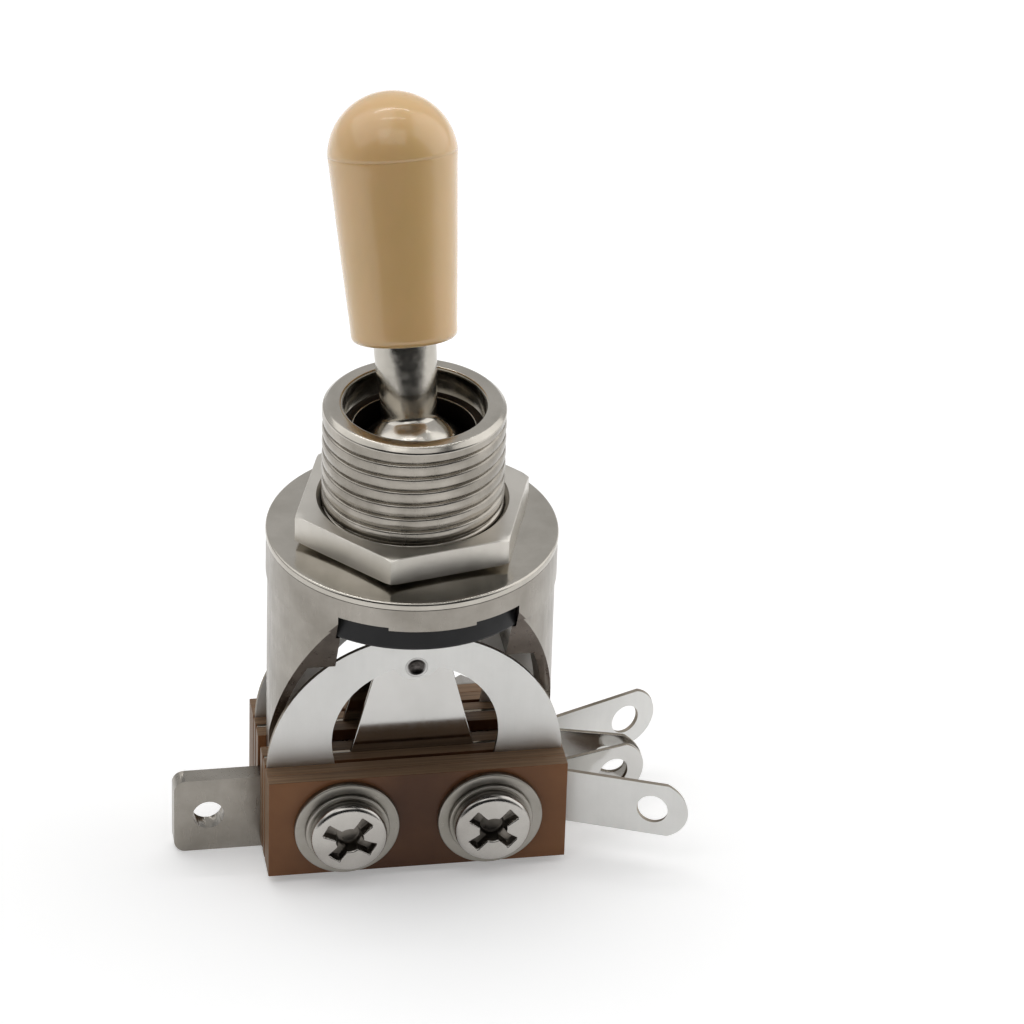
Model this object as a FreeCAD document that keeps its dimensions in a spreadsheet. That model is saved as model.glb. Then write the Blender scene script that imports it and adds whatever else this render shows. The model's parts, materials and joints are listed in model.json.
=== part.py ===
import FreeCAD, Part
import math
import os
import re

import Sketcher
from FreeCAD import Placement, Rotation, Vector

# Three-way toggle switch for choosing a guitar's pickups, in millimetres.
# +Z is up along the threaded bushing, -Y is the front, +X is to the right.
# The origin is on the bushing's axis, on the flange face that meets the panel.
# The lever is thrown to the rear, so its lower end holds the front arched leaf off its contact.

THREAD_TURNS = 10

SIZES = [
    ("thread_radius", 5.95, "outside of the bushing's thread"),
    ("thread_depth", 0.34, "bushing's thread"),
    ("thread_start", 0.35, "bushing's thread above the flange"),
    ("bushing_height", 9.3, "mouth of the bushing above the flange"),
    ("collar_height", 0.95, "plain collar between the thread and the mouth"),
    ("thread_pitch", f"=(bushing_height - thread_start - collar_height)/{THREAD_TURNS}",
     "bushing's thread, drawn as round grooves"),
    ("lip_radius", 0.45, "rounded outer edge of the mouth"),
    ("mouth_wall", 1.35, "bushing's wall at its mouth"),
    ("mouth_radius", "=thread_radius - mouth_wall", "upper bore"),
    ("mouth_depth", 1.8, "depth of the upper bore"),
    ("socket_wall", 1.5, "bushing's wall round the ball"),
    ("throat_lip", 0.5, "ring that holds the ball down"),
    ("throat_radius", "=socket_radius - throat_lip", "narrow ring that holds the ball down"),
    ("socket_radius", "=thread_radius - socket_wall", "bore round the ball"),
    ("flange_radius", 9.55, "flange that meets the panel"),
    ("flange_thickness", 0.55, "flange that meets the panel"),
    ("flange_edge", 0.2, "rounded top edge of the flange"),
    ("spigot_step", 0.65, "bushing's lower end smaller than its thread"),
    ("spigot_radius", "=thread_radius - spigot_step", "lower end of the bushing, in the frame's top plate"),
    ("seat_clearance", 0.03, "between fixed round pieces and their holes"),
    ("running_clearance", 0.05, "between moving round pieces"),
    ("nut_wall", 1.05, "panel nut's flats beyond the thread"),
    ("nut_across_flats", "=2*(thread_radius + nut_wall)", "panel nut"),
    ("nut_thickness", 1.9, "panel nut"),
    ("nut_gap", 0.35, "panel nut above the flange, backed off a little"),
    ("nut_chamfer_step", 0.55, "panel nut's chamfer starts this far beyond its flats"),
    ("nut_chamfer_radius", "=nut_across_flats/2 + nut_chamfer_step", "top edge of the panel nut's chamfer"),
    ("nut_chamfer_angle", 30, "chamfer on the panel nut's corners"),
    ("nut_sink", 0.3, "countersink in the panel nut"),
    ("nut_turn", 11.5, "angle of a nut corner from +X"),
    ("plate_thickness", 1.35, "frame's top plate"),
    ("rim_step", 0.04, "frame's top plate inside the flange's edge"),
    ("rim_radius", "=flange_radius - rim_step", "frame's top plate and the bands over its legs"),
    ("rim_drop", 1.4, "bands over the legs, below the top plate"),
    ("leg_step", 0.11, "legs inside the bands over them"),
    ("wall_radius", "=rim_radius - leg_step", "outside of the frame's curved legs"),
    ("wall_thickness", 0.6, "frame's curved legs"),
    ("opening_step", 1.8, "half depth of the legs under the top plate, short of their radius"),
    ("opening_half_depth", "=wall_radius - opening_step", "half depth of the legs under the top plate"),
    ("leg_taper_end", 14.9, "depth at which the legs are as thin as the web"),
    ("leg_gap", 5.6, "flat inner faces of the legs' thick upper ends from the middle"),
    ("leg_block_end", 7.5, "lower end of the legs' thick upper ends, below the flange face"),
    ("tab_half_width", 2.85, "tab on the top plate's front and rear edge"),
    ("tab_drop", 0.3, "tab below the top plate"),
    ("web_thickness", 1.3, "frame's web between the two halves of the stack"),
    ("web_rise", 1.0, "web above the stack"),
    ("web_drop", 0.6, "web and ground lug below the plates"),
    ("ground_lug_length", 5.75, "solder lug on the frame's left side"),
    ("ground_lug_height", 5.6, "solder lug on the frame"),
    ("ground_lug_thickness", 1.3, "solder lug on the frame"),
    ("ground_lug_corner", 0.8, "rounded corners of the frame's lug"),
    ("lug_hole_radius", 1.05, "wire hole in each solder lug"),
    ("ground_hole_inset", 2.3, "wire hole from the end of the frame's lug"),
    ("stack_top", 16.2, "top of the stack, below the flange face"),
    ("stack_height", 7.4, "insulating plates"),
    ("stack_half_width", 9.95, "insulating plates"),
    ("cover_thickness", 1.0, "outer insulating plate"),
    ("spacer_thickness", 0.95, "plate behind the outer one"),
    ("middle_thickness", 0.85, "plate between the two leaf springs"),
    ("inner_thickness", 1.05, "plate between leaf spring and web"),
    ("leaf_thickness", 0.3, "leaf springs"),
    ("leaf_side_inset", 0.1, "leaf springs short of the plates' ends"),
    ("arch_radius", 9.85, "outside of the arched leaf"),
    ("arch_drop", 0.3, "centre of the arch below the stack's top"),
    ("arch_window_radius", 5.55, "window in the arched leaf"),
    ("arch_window_rise", 1.7, "centre of the window above the stack"),
    ("lobe_radius", 1.6, "round tab that carries the arched leaf's contact"),
    ("lobe_rise", 7.8, "centre of the round tab above the stack"),
    ("contact_rise", 7.15, "contacts above the stack"),
    ("finger_width", 2.6, "bent finger on the arched leaf's top, which the lever's nose pushes"),
    ("finger_inset", 0.02, "finger thinned this much on each face"),
    ("finger_length", 2.3, "bent finger on the arched leaf's top"),
    ("finger_root", 0.6, "lower end of the finger, in the leaf, below its bend"),
    ("finger_rise", 9.45, "bend of the finger above the stack"),
    ("tongue_rise", 8.4, "top of the straight leaf above the stack"),
    ("tongue_base_half", 4.35, "straight leaf at the stack"),
    ("tongue_top_half", 2.15, "straight leaf at its top"),
    ("tongue_corner", 0.6, "rounded top corners of the straight leaf"),
    ("arch_lug_length", 8.0, "arched leaf's lug beyond the plates"),
    ("arch_lug_reach", "=stack_half_width + arch_lug_length", "end of the arched leaf's lug"),
    ("arch_lug_angle", 22.5, "arched leaf's lug bent outwards"),
    ("tongue_lug_length", 6.1, "straight leaf's lug beyond the plates"),
    ("tongue_lug_reach", "=stack_half_width + tongue_lug_length", "end of the straight leaf's lug"),
    ("lug_half_height", 2.0, "leaf lugs"),
    ("lug_end_radius", 2.2, "round end of a leaf's lug, about its wire hole"),
    ("lug_level", 20.1, "middle of the leaf lugs below the flange face"),
    ("lug_bend_gap", 0.1, "start of the lug bends beyond the plates' ends"),
    ("lug_meeting_gap", 0.03, "between the two straight leaves' lug ends"),
    ("contact_shank_radius", 0.75, "contact rivets"),
    ("arch_contact_radius", 0.9, "head of the moving contact"),
    ("arch_contact_height", 0.3, "head of the moving contact"),
    ("contact_clearance", 0.03, "between closed contacts"),
    ("tongue_contact_height", 0.27, "head of the fixed contact"),
    ("tongue_contact_radius", 0.9, "head of the fixed contact"),
    ("rivet_clearance", 0.01, "between contact rivets and their holes"),
    ("contact_dimple", 0.9, "radius of the dimple in the rivet's tail"),
    ("dimple_lift", 0.67, "centre of the dimple beyond the rivet's tail"),
    ("pivot_height", 3.85, "centre of the ball above the flange face"),
    ("throw_angle", 20.0, "lever from upright to either end"),
    ("throw_skew", 5.0, "lever's throw turned from the stack's square"),
    ("ball_gap", 0.3, "ball inside its bore"),
    ("ball_radius", "=socket_radius - ball_gap", "ball on the lever"),
    ("neck_radius", 1.68, "lever above the ball"),
    ("neck_top", 5.9, "end of the neck from the ball's centre"),
    ("shaft_radius", 2.03, "lever under the tip"),
    ("shaft_start", 7.1, "start of the full shaft"),
    ("shaft_top", 9.3, "shoulder inside the tip"),
    ("stud_radius", 1.6, "threaded end inside the tip"),
    ("stud_top", 16.4, "threaded end inside the tip"),
    ("rod_radius", 1.1, "lever below the ball"),
    ("rod_end", 8.3, "end of the lever below the ball's centre"),
    ("nose_radius", 0.75, "insulating nose on the lever's lower end"),
    ("nose_centre", 9.3, "centre of the nose's round end"),
    ("nose_stem_radius", 0.45, "stem of the nose in the lever"),
    ("nose_stem_length", 1.6, "stem of the nose in the lever"),
    ("leaf_contact_gap", 0.03, "between the nose and the leaf that it pushes"),
    ("tip_bottom", 8.9, "lower end of the tip from the ball's centre"),
    ("tip_bottom_radius", 3.46, "tip"),
    ("tip_bottom_edge", 0.8, "rounded lower edge of the tip"),
    ("tip_seam", 20.8, "widest ring of the tip"),
    ("tip_seam_radius", 4.18, "tip"),
    ("tip_dome_height", 4.26, "dome over the widest ring"),
    ("tip_bore_clearance", 0.12, "tip's bore round the shaft"),
    ("stud_clearance", 0.5, "tip's bore beyond the threaded end"),
    ("guide_thickness", 2.2, "slotted guide under the top plate"),
    ("guide_edge", 0.3, "rounded lower edge of the guide"),
    ("guide_flat", 5.85, "guide's flat sides from its middle"),
    ("slot_clearance", 0.15, "guide slot round the lever"),
    ("cup_ring", 1.4, "ball cup's hole inside the ball's outline"),
    ("cup_hole_radius", "=ball_radius - cup_ring", "hole through the ball cup"),
    ("cup_flare", 0.7, "hole through the ball cup, wider at its lower end"),
    ("cup_flare_radius", "=cup_hole_radius + cup_flare", "lower end of the hole through the ball cup"),
    ("cup_edge", 0.15, "edge of the ball cup's seat inside the ball's outline"),
    ("cup_seat_radius", "=ball_radius - cup_edge", "edge of the ball cup's round seat"),
    ("screw_radius", 1.25, "stack screws"),
    ("screw_share", 0.4804, "stack screws from the middle, as a share of the plates' half width"),
    ("screw_offset", "=stack_half_width*screw_share", "stack screws from the middle"),
    ("screw_head_radius", 2.4, "stack screws"),
    ("screw_head_height", 1.4, "stack screws"),
    ("screw_head_crown", 0.45, "rounded part of the screw head's height"),
    ("recess_width", 0.95, "cross recess in the screw head"),
    ("recess_length", 3.4, "cross recess in the screw head"),
    ("recess_depth", 0.9, "cross recess in the screw head"),
    ("screw_clearance", 0.05, "holes round the screws"),
    ("sleeve_radius", 1.8, "insulating sleeve round each screw"),
    ("washer_radius", 3.5, "washers"),
    ("washer_thickness", 0.45, "washers"),
    ("lock_washer_radius", 2.9, "second washer under each screw head"),
    ("lock_washer_thickness", 0.3, "second washer under each screw head"),
    ("rear_nut_across_flats", 5.0, "nuts on the rear"),
    ("rear_nut_thickness", 2.0, "nuts on the rear"),
    ("screw_end", 0.6, "screw beyond its nut"),
    ("screw_point", 0.2, "chamfer on the screw's end"),
    ("left_recess_turn", 50, "cross recess of the left screw"),
    ("right_recess_turn", 38, "cross recess of the right screw"),
    ("overlap", 1.0, "how far joined outlines and cutters reach past their edges"),
    ("cutter_length", 4.0, "cutters for the holes through one leaf"),
]

os.makedirs("parts", exist_ok=True)
doc = FreeCAD.newDocument("PickupSelectorSwitch")
sheet = doc.addObject("Spreadsheet::Sheet", "Sizes")
for row, (alias, number, note) in enumerate(SIZES, 1):
    sheet.set(f"A{row}", alias)
    sheet.setAlias(f"B{row}", alias)
    sheet.set(f"C{row}", note)
for row, (alias, number, note) in enumerate(SIZES, 1):
    sheet.set(f"B{row}", str(number))
doc.recompute()
ALIASES = {alias for alias, number, note in SIZES}
nodes = []


def bound(text):
    """An expression in sheet names, written so that any object can use it."""
    return re.sub(r"[a-z][a-z_]+", lambda m: "Sizes." + m[0] if m[0] in ALIASES else m[0], text)


def size(text):
    """The number that an expression in sheet names gives."""
    return float(sheet.evalExpression(text))


# Sketches and features


def new_body(name):
    body = doc.addObject("PartDesign::Body", name + "_body")
    body.Label = name
    nodes.append(body)
    return body


def add_sketch(body, plane, loops, offset=None):
    """A sketch on one of the body's own planes, every corner tied to the sheet.

    A loop is ("circle", x, y, radius) or a list of corners (x, y). A corner may add the radius of
    an arc that leads to the next corner: positive bulges to the right of the way it goes.
    """
    sketch = body.newObject("Sketcher::SketchObject", body.Label + "_sketch")
    origin_plane = [f for f in body.Origin.OriginFeatures if f.Role == plane][0]
    sketch.AttachmentSupport = [(origin_plane, "")]
    sketch.MapMode = "FlatFace"
    if offset:
        sketch.setExpression("AttachmentOffset.Base.z", bound(offset))
    for loop in loops:
        if loop[0] == "circle":
            sketch_circle(sketch, *loop[1:])
        else:
            sketch_outline(sketch, loop)
    return sketch


def tie_point(sketch, edge, end, x, y):
    """Hold one point of an edge at (x, y) from the sketch's origin."""
    for kind, text, axis in (("DistanceX", x, -2), ("DistanceY", y, -1)):
        number = size(text)
        if abs(number) < 1e-9:
            sketch.addConstraint(Sketcher.Constraint("PointOnObject", edge, end, axis))
        else:
            index = sketch.addConstraint(Sketcher.Constraint(kind, -1, 1, edge, end, number))
            sketch.setExpression(f"Constraints[{index}]", bound(text))


def sketch_circle(sketch, x, y, radius):
    circle = Part.Circle(Vector(size(x), size(y), 0), Vector(0, 0, 1), size(radius))
    edge = sketch.addGeometry(circle, False)
    tie_point(sketch, edge, 3, x, y)
    index = sketch.addConstraint(Sketcher.Constraint("Radius", edge, size(radius)))
    sketch.setExpression(f"Constraints[{index}]", bound(radius))


def arc_between(start, end, radius):
    """The short arc between two points: a positive radius bulges to the right of the way there."""
    chord = end - start
    half = chord.Length / 2
    right = Vector(chord.y, -chord.x, 0).normalize()
    reach = math.sqrt(max(radius * radius - half * half, 0))
    side = 1 if radius > 0 else -1
    centre = (start + end) * 0.5 - right * (side * reach)
    middle = centre + right * (side * abs(radius))
    if radius > 0:
        return Part.ArcOfCircle(start, middle, end)
    return Part.ArcOfCircle(end, middle, start)


def sketch_outline(sketch, corners):
    points = [Vector(size(corner[0]), size(corner[1]), 0) for corner in corners]
    ends = []
    for number, corner in enumerate(corners):
        start = points[number]
        end = points[(number + 1) % len(points)]
        if len(corner) == 3:
            edge = sketch.addGeometry(arc_between(start, end, size(corner[2])), False)
            arc = sketch.Geometry[edge]
            forward = arc.StartPoint.distanceToPoint(start) < arc.EndPoint.distanceToPoint(start)
            ends.append((edge, 1, 2) if forward else (edge, 2, 1))
            index = sketch.addConstraint(Sketcher.Constraint("Radius", edge, abs(size(corner[2]))))
            sketch.setExpression(f"Constraints[{index}]", bound(f"abs({corner[2]})"))
        else:
            edge = sketch.addGeometry(Part.LineSegment(start, end), False)
            ends.append((edge, 1, 2))
    for number, corner in enumerate(corners):
        edge, first, last = ends[number]
        before = ends[number - 1]
        sketch.addConstraint(Sketcher.Constraint("Coincident", before[0], before[2], edge, first))
        tie_point(sketch, edge, first, corner[0], corner[1])


def extrude(body, kind, sketch, length, symmetric=False, reverse=False):
    """A pad or a pocket of this sketch."""
    feature = body.newObject("PartDesign::" + kind, body.Label + "_" + kind.lower())
    feature.Profile = sketch
    feature.setExpression("Length", bound(length))
    if symmetric:
        feature.SideType = "Symmetric"
    feature.Reversed = reverse
    doc.recompute()
    return feature


def turn(body, kind, sketch, axis="V_Axis"):
    """A revolution or a groove of this sketch round one of its axes."""
    feature = body.newObject("PartDesign::" + kind, body.Label + "_" + kind.lower())
    feature.Profile = sketch
    feature.ReferenceAxis = (sketch, [axis])
    feature.Angle = 360
    doc.recompute()
    return feature


def turned_piece(name, corners):
    """A piece turned round +Z from the outline of its right half."""
    body = new_body(name)
    turn(body, "Revolution", add_sketch(body, "XZ_Plane", [corners]))
    return body


def shaped_piece(name, shape):
    """A piece whose form is worked out from the sheet by this script."""
    piece = doc.addObject("Part::Feature", name + "_shape")
    piece.Label = name
    piece.Shape = shape
    nodes.append(piece)
    return piece


def rectangle(left, right, low, high):
    return [(left, low), (right, low), (right, high), (left, high)]


# Levels and faces that several pieces share

UNDER_PLATE = "-flange_thickness - plate_thickness"
FLOOR = "-stack_top - stack_height"
FRAME_FLOOR = FLOOR + " - web_drop"
SCREW_LEVEL = "-stack_top - stack_height/2"
SEAT_HEIGHT = "pivot_height + sqrt((ball_radius + running_clearance)^2 - throat_radius^2)"
GUIDE_FLOOR = UNDER_PLATE + " - guide_thickness"
OPENING_HALF_WIDTH = "sqrt(wall_radius^2 - opening_half_depth^2)"

# Each layer's inner face, as a distance from the middle plane of the stack
INNER_AT = "web_thickness/2"
TONGUE_AT = INNER_AT + " + inner_thickness"
MIDDLE_AT = TONGUE_AT + " + leaf_thickness"
ARCH_AT = MIDDLE_AT + " + middle_thickness"
SPACER_AT = ARCH_AT + " + leaf_thickness"
COVER_AT = SPACER_AT + " + spacer_thickness"
STACK_FACE = COVER_AT + " + cover_thickness"
BEND_X = "stack_half_width + lug_bend_gap"


# Bushing, frame and panel nut


def thread_grooves():
    """Corners up the bushing's outside, with one groove for each turn of the thread."""
    corners = []
    for turn_number in range(THREAD_TURNS):
        low = f"thread_start + {turn_number}*thread_pitch"
        corners.append(("thread_radius", low))
        corners.append(("thread_radius - thread_depth", f"{low} + thread_pitch/2"))
    corners.append(("thread_radius", f"thread_start + {THREAD_TURNS}*thread_pitch"))
    return corners


def make_bushing():
    body = turned_piece("threaded_bushing", [
        ("socket_radius", UNDER_PLATE),
        ("spigot_radius", UNDER_PLATE),
        ("spigot_radius", "-flange_thickness"),
        ("flange_radius", "-flange_thickness"),
        ("flange_radius", "-flange_edge", "flange_edge"),
        ("flange_radius - flange_edge", "0"),
        ("thread_radius", "0"),
        *thread_grooves(),
        ("thread_radius", "bushing_height - lip_radius", "lip_radius"),
        ("thread_radius - lip_radius", "bushing_height"),
        ("mouth_radius", "bushing_height"),
        ("mouth_radius", "bushing_height - mouth_depth"),
        ("throat_radius", "bushing_height - mouth_depth"),
        ("throat_radius", SEAT_HEIGHT),
        ("socket_radius", SEAT_HEIGHT),
    ])
    return body


def make_frame():
    """One casting: top plate, two legs that taper to a web, and the ground lug.

    The legs are thick at their upper ends, with flat inner faces and a step that carries the guide.
    """
    body = new_body("switch_frame")
    turn(body, "Revolution", add_sketch(body, "XZ_Plane", [[
        ("spigot_radius + seat_clearance", "-flange_thickness"),
        ("spigot_radius + seat_clearance", "-leg_block_end"),
        ("wall_radius - wall_thickness", "-leg_block_end"),
        ("wall_radius - wall_thickness", FRAME_FLOOR),
        ("wall_radius", FRAME_FLOOR),
        ("wall_radius", UNDER_PLATE + " - rim_drop"),
        ("rim_radius", UNDER_PLATE + " - rim_drop"),
        ("rim_radius", "-flange_thickness"),
    ]]))
    beside_guide = "guide_flat + seat_clearance"
    extrude(body, "Pocket", add_sketch(body, "XZ_Plane", [[
        (f"-({beside_guide})", UNDER_PLATE),
        (f"-({beside_guide})", GUIDE_FLOOR),
        ("-leg_gap", GUIDE_FLOOR),
        ("-leg_gap", "-leg_block_end - overlap"),
        ("leg_gap", "-leg_block_end - overlap"),
        ("leg_gap", GUIDE_FLOOR),
        (beside_guide, GUIDE_FLOOR),
        (beside_guide, UNDER_PLATE),
    ]]), "4*flange_radius", symmetric=True)
    tab_end = UNDER_PLATE + " - tab_drop"
    side_cut = []
    for sign in ("", "-"):
        side_cut.append([
            (f"{sign}opening_half_depth", tab_end),
            (f"{sign}web_thickness/2", "-leg_taper_end"),
            (f"{sign}web_thickness/2", FRAME_FLOOR + " - overlap"),
            (f"{sign}2*flange_radius", FRAME_FLOOR + " - overlap"),
            (f"{sign}2*flange_radius", tab_end),
        ])
    extrude(body, "Pocket", add_sketch(body, "YZ_Plane", side_cut), "4*flange_radius", symmetric=True)
    beside_tab = [
        rectangle("tab_half_width", OPENING_HALF_WIDTH, tab_end, UNDER_PLATE),
        rectangle("-" + OPENING_HALF_WIDTH, "-tab_half_width", tab_end, UNDER_PLATE),
    ]
    extrude(body, "Pocket", add_sketch(body, "XZ_Plane", beside_tab), "4*flange_radius", symmetric=True)
    web = rectangle("-wall_radius + wall_thickness/2", "wall_radius - wall_thickness/2",
                    FRAME_FLOOR, "-stack_top + web_rise")
    extrude(body, "Pad", add_sketch(body, "XZ_Plane", [web]), "web_thickness", symmetric=True)
    end = "-stack_half_width - ground_lug_length"
    corner = "ground_lug_corner"
    top = FRAME_FLOOR + " + ground_lug_height"
    lug = [
        ("-wall_radius + wall_thickness/2", FRAME_FLOOR),
        ("-wall_radius + wall_thickness/2", top),
        (f"{end} + {corner}", top, corner),
        (end, f"{top} - {corner}"),
        (end, f"{FRAME_FLOOR} + {corner}", corner),
        (f"{end} + {corner}", FRAME_FLOOR),
    ]
    extrude(body, "Pad", add_sketch(body, "XZ_Plane", [lug]), "ground_lug_thickness", symmetric=True)
    holes = [("circle", f"{sign}screw_offset", SCREW_LEVEL, "sleeve_radius + screw_clearance")
             for sign in ("", "-")]
    holes.append(("circle", f"{end} + ground_hole_inset", f"{FRAME_FLOOR} + ground_lug_height/2",
                  "lug_hole_radius"))
    extrude(body, "Pocket", add_sketch(body, "XZ_Plane", holes), "2*web_thickness", symmetric=True)
    return body


def make_panel_nut():
    body = new_body("panel_nut")
    corner = "nut_across_flats/2/cos(30)"
    hexagon = [(f"{corner}*cos(nut_turn + {60 * k})", f"{corner}*sin(nut_turn + {60 * k})")
               for k in range(6)]
    hole = ("circle", "0", "0", "thread_radius + running_clearance")
    extrude(body, "Pad", add_sketch(body, "XY_Plane", [hexagon, hole], "nut_gap"), "nut_thickness")
    top = "nut_gap + nut_thickness"
    fall = "(flange_radius - nut_chamfer_radius)*tan(nut_chamfer_angle)"
    chamfer = [("nut_chamfer_radius", top), ("flange_radius", top), ("flange_radius", f"{top} - {fall}")]
    turn(body, "Groove", add_sketch(body, "XZ_Plane", [chamfer]))
    sink = [("thread_radius", top), ("thread_radius + nut_sink", top),
            ("thread_radius", f"{top} - nut_sink")]
    turn(body, "Groove", add_sketch(body, "XZ_Plane", [sink]))
    return body


# Lever, tip and what holds the ball


def stand_on_pivot(piece):
    """Place a piece drawn along the lever's own axis, with the lever thrown to the rear."""
    throw = Rotation(Vector(1, 0, 0), -size("throw_angle"))
    skew = Rotation(Vector(0, 0, 1), size("throw_skew"))
    piece.Placement = Placement(Vector(0, 0, size("pivot_height")), skew.multiply(throw))


def make_lever():
    body = turned_piece("lever", [
        ("nose_stem_radius + seat_clearance", "-rod_end"),
        ("rod_radius", "-rod_end"),
        ("rod_radius", "-sqrt(ball_radius^2 - rod_radius^2)", "ball_radius"),
        ("neck_radius", "sqrt(ball_radius^2 - neck_radius^2)"),
        ("neck_radius", "neck_top"),
        ("shaft_radius", "shaft_start"),
        ("shaft_radius", "shaft_top"),
        ("stud_radius", "shaft_top"),
        ("stud_radius", "stud_top"),
        ("0", "stud_top"),
        ("0", "-rod_end + nose_stem_length + seat_clearance"),
        ("nose_stem_radius + seat_clearance", "-rod_end + nose_stem_length + seat_clearance"),
    ])
    stand_on_pivot(body)


def make_lever_tip():
    top = "tip_seam + tip_dome_height"
    dome_radius = "(tip_seam_radius^2 + tip_dome_height^2)/(2*tip_dome_height)"
    body = turned_piece("lever_tip", [
        ("shaft_radius + tip_bore_clearance", "tip_bottom"),
        ("tip_bottom_radius - tip_bottom_edge", "tip_bottom", "tip_bottom_edge"),
        ("tip_bottom_radius", "tip_bottom + tip_bottom_edge"),
        ("tip_seam_radius", "tip_seam", dome_radius),
        ("0", top),
        ("0", "stud_top + stud_clearance"),
        ("stud_radius + seat_clearance", "stud_top + stud_clearance"),
        ("stud_radius + seat_clearance", "shaft_top + seat_clearance"),
        ("shaft_radius + tip_bore_clearance", "shaft_top + seat_clearance"),
    ])
    stand_on_pivot(body)


def make_lever_nose():
    body = turned_piece("lever_nose", [
        ("0", "-nose_centre - nose_radius", "nose_radius"),
        ("nose_radius", "-nose_centre"),
        ("nose_radius", "-rod_end"),
        ("nose_stem_radius", "-rod_end"),
        ("nose_stem_radius", "-rod_end + nose_stem_length"),
        ("0", "-rod_end + nose_stem_length"),
    ])
    stand_on_pivot(body)


def make_ball_cup():
    """The ring under the ball, with a round seat that the ball turns on and a flared hole."""
    seat = "ball_radius + running_clearance"
    outside = "socket_radius - running_clearance"
    turned_piece("ball_cup", [
        ("cup_flare_radius", UNDER_PLATE),
        (outside, UNDER_PLATE),
        (outside, f"pivot_height - sqrt(({seat})^2 - cup_seat_radius^2)"),
        ("cup_seat_radius", f"pivot_height - sqrt(({seat})^2 - cup_seat_radius^2)", f"-({seat})"),
        ("cup_hole_radius", f"pivot_height - sqrt(({seat})^2 - cup_hole_radius^2)"),
    ])


def make_guide():
    """The slotted plate that keeps the lever to its plane of throw."""
    outer = "wall_radius - wall_thickness - seat_clearance"
    body = turned_piece("lever_guide", [
        ("0", UNDER_PLATE),
        ("0", GUIDE_FLOOR),
        (f"{outer} - guide_edge", GUIDE_FLOOR, "guide_edge"),
        (outer, f"{GUIDE_FLOOR} + guide_edge"),
        (outer, UNDER_PLATE),
    ])
    drop = "pivot_height + flange_thickness + plate_thickness + guide_thickness"
    reach = f"(({drop})*tan(throw_angle) + rod_radius/cos(throw_angle) - rod_radius)"
    half = "(rod_radius + slot_clearance)"
    square_slot = [
        (half, f"-{reach}"),
        (half, reach, half),
        ("0", f"{reach} + {half}", half),
        (f"-{half}", reach),
        (f"-{half}", f"-{reach}", half),
        ("0", f"-{reach} - {half}", half),
    ]
    slot = [(f"({corner[0]})*cos(throw_skew) - ({corner[1]})*sin(throw_skew)",
             f"({corner[0]})*sin(throw_skew) + ({corner[1]})*cos(throw_skew)") + corner[2:]
            for corner in square_slot]
    beside_flats = [
        rectangle("guide_flat", "flange_radius", "-flange_radius", "flange_radius"),
        rectangle("-flange_radius", "-guide_flat", "-flange_radius", "flange_radius"),
    ]
    extrude(body, "Pocket", add_sketch(body, "XY_Plane", [slot] + beside_flats, UNDER_PLATE),
            "3*guide_thickness", symmetric=True)


# Stack of plates and leaf springs


def make_plate(name, side, inner_face, thickness, hole_radius):
    """An insulating plate. side is -1 for the front half of the stack and 1 for the rear half."""
    body = new_body(name)
    outline = rectangle("-stack_half_width", "stack_half_width", FLOOR, "-stack_top")
    holes = [("circle", f"{sign}screw_offset", SCREW_LEVEL, hole_radius) for sign in ("", "-")]
    rear_face = inner_face if side < 0 else f"-({inner_face} + {thickness})"
    sketch = add_sketch(body, "XZ_Plane", [outline] + holes, rear_face)
    extrude(body, "Pad", sketch, thickness)


def strip_face(points, thickness):
    """A sheet's section in the XY plane: a bent line of points, with half the thickness each side."""
    half = thickness / 2
    left, right = [], []
    for number, point in enumerate(points):
        before = (point - points[number - 1]).normalize() if number else None
        after = (points[number + 1] - point).normalize() if number + 1 < len(points) else None
        way = ((before or after) + (after or before)).normalize()
        across = Vector(-way.y, way.x, 0)
        stretch = half / across.dot(Vector(-(before or after).y, (before or after).x, 0))
        left.append(point + across * stretch)
        right.append(point - across * stretch)
    outline = left + right[::-1]
    return Part.Face(Part.makePolygon(outline + outline[:1]))


def outline_prism(faces, depth):
    """Faces drawn in the XZ plane, given depth through the whole stack and joined."""
    solids = [face.extrude(Vector(0, 2 * depth, 0)) for face in faces]
    prism = solids[0].multiFuse(solids[1:]).removeSplitter()
    prism.translate(Vector(0, -depth, 0))
    return prism


def disc(x, z, radius):
    return Part.Face(Part.Wire([Part.Circle(Vector(x, 0, z), Vector(0, -1, 0), radius).toShape()]))


def polygon(points):
    corners = [Vector(x, 0, z) for x, z in points]
    return Part.Face(Part.makePolygon(corners + corners[:1]))


def clamp_and_lug(lug_end):
    """The part of a leaf's outline that the stack holds, and its solder lug."""
    half = size("stack_half_width - leaf_side_inset")
    top = -size("stack_top")
    floor = size(FLOOR + " + leaf_side_inset")
    level = -size("lug_level")
    lug = size("lug_half_height")
    root = half - size("overlap")
    hole_x = lug_end - size("lug_end_radius")
    low, high = level - lug, level + lug
    band = polygon([(root, low), (lug_end, low), (lug_end, high), (root, high)])
    return [
        polygon([(-half, floor), (half, floor), (half, top), (-half, top)]),
        polygon([(root, low), (hole_x, low), (hole_x, high), (root, high)]),
        disc(hole_x, level, size("lug_end_radius")).common(band).Faces[0],
    ]


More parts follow.
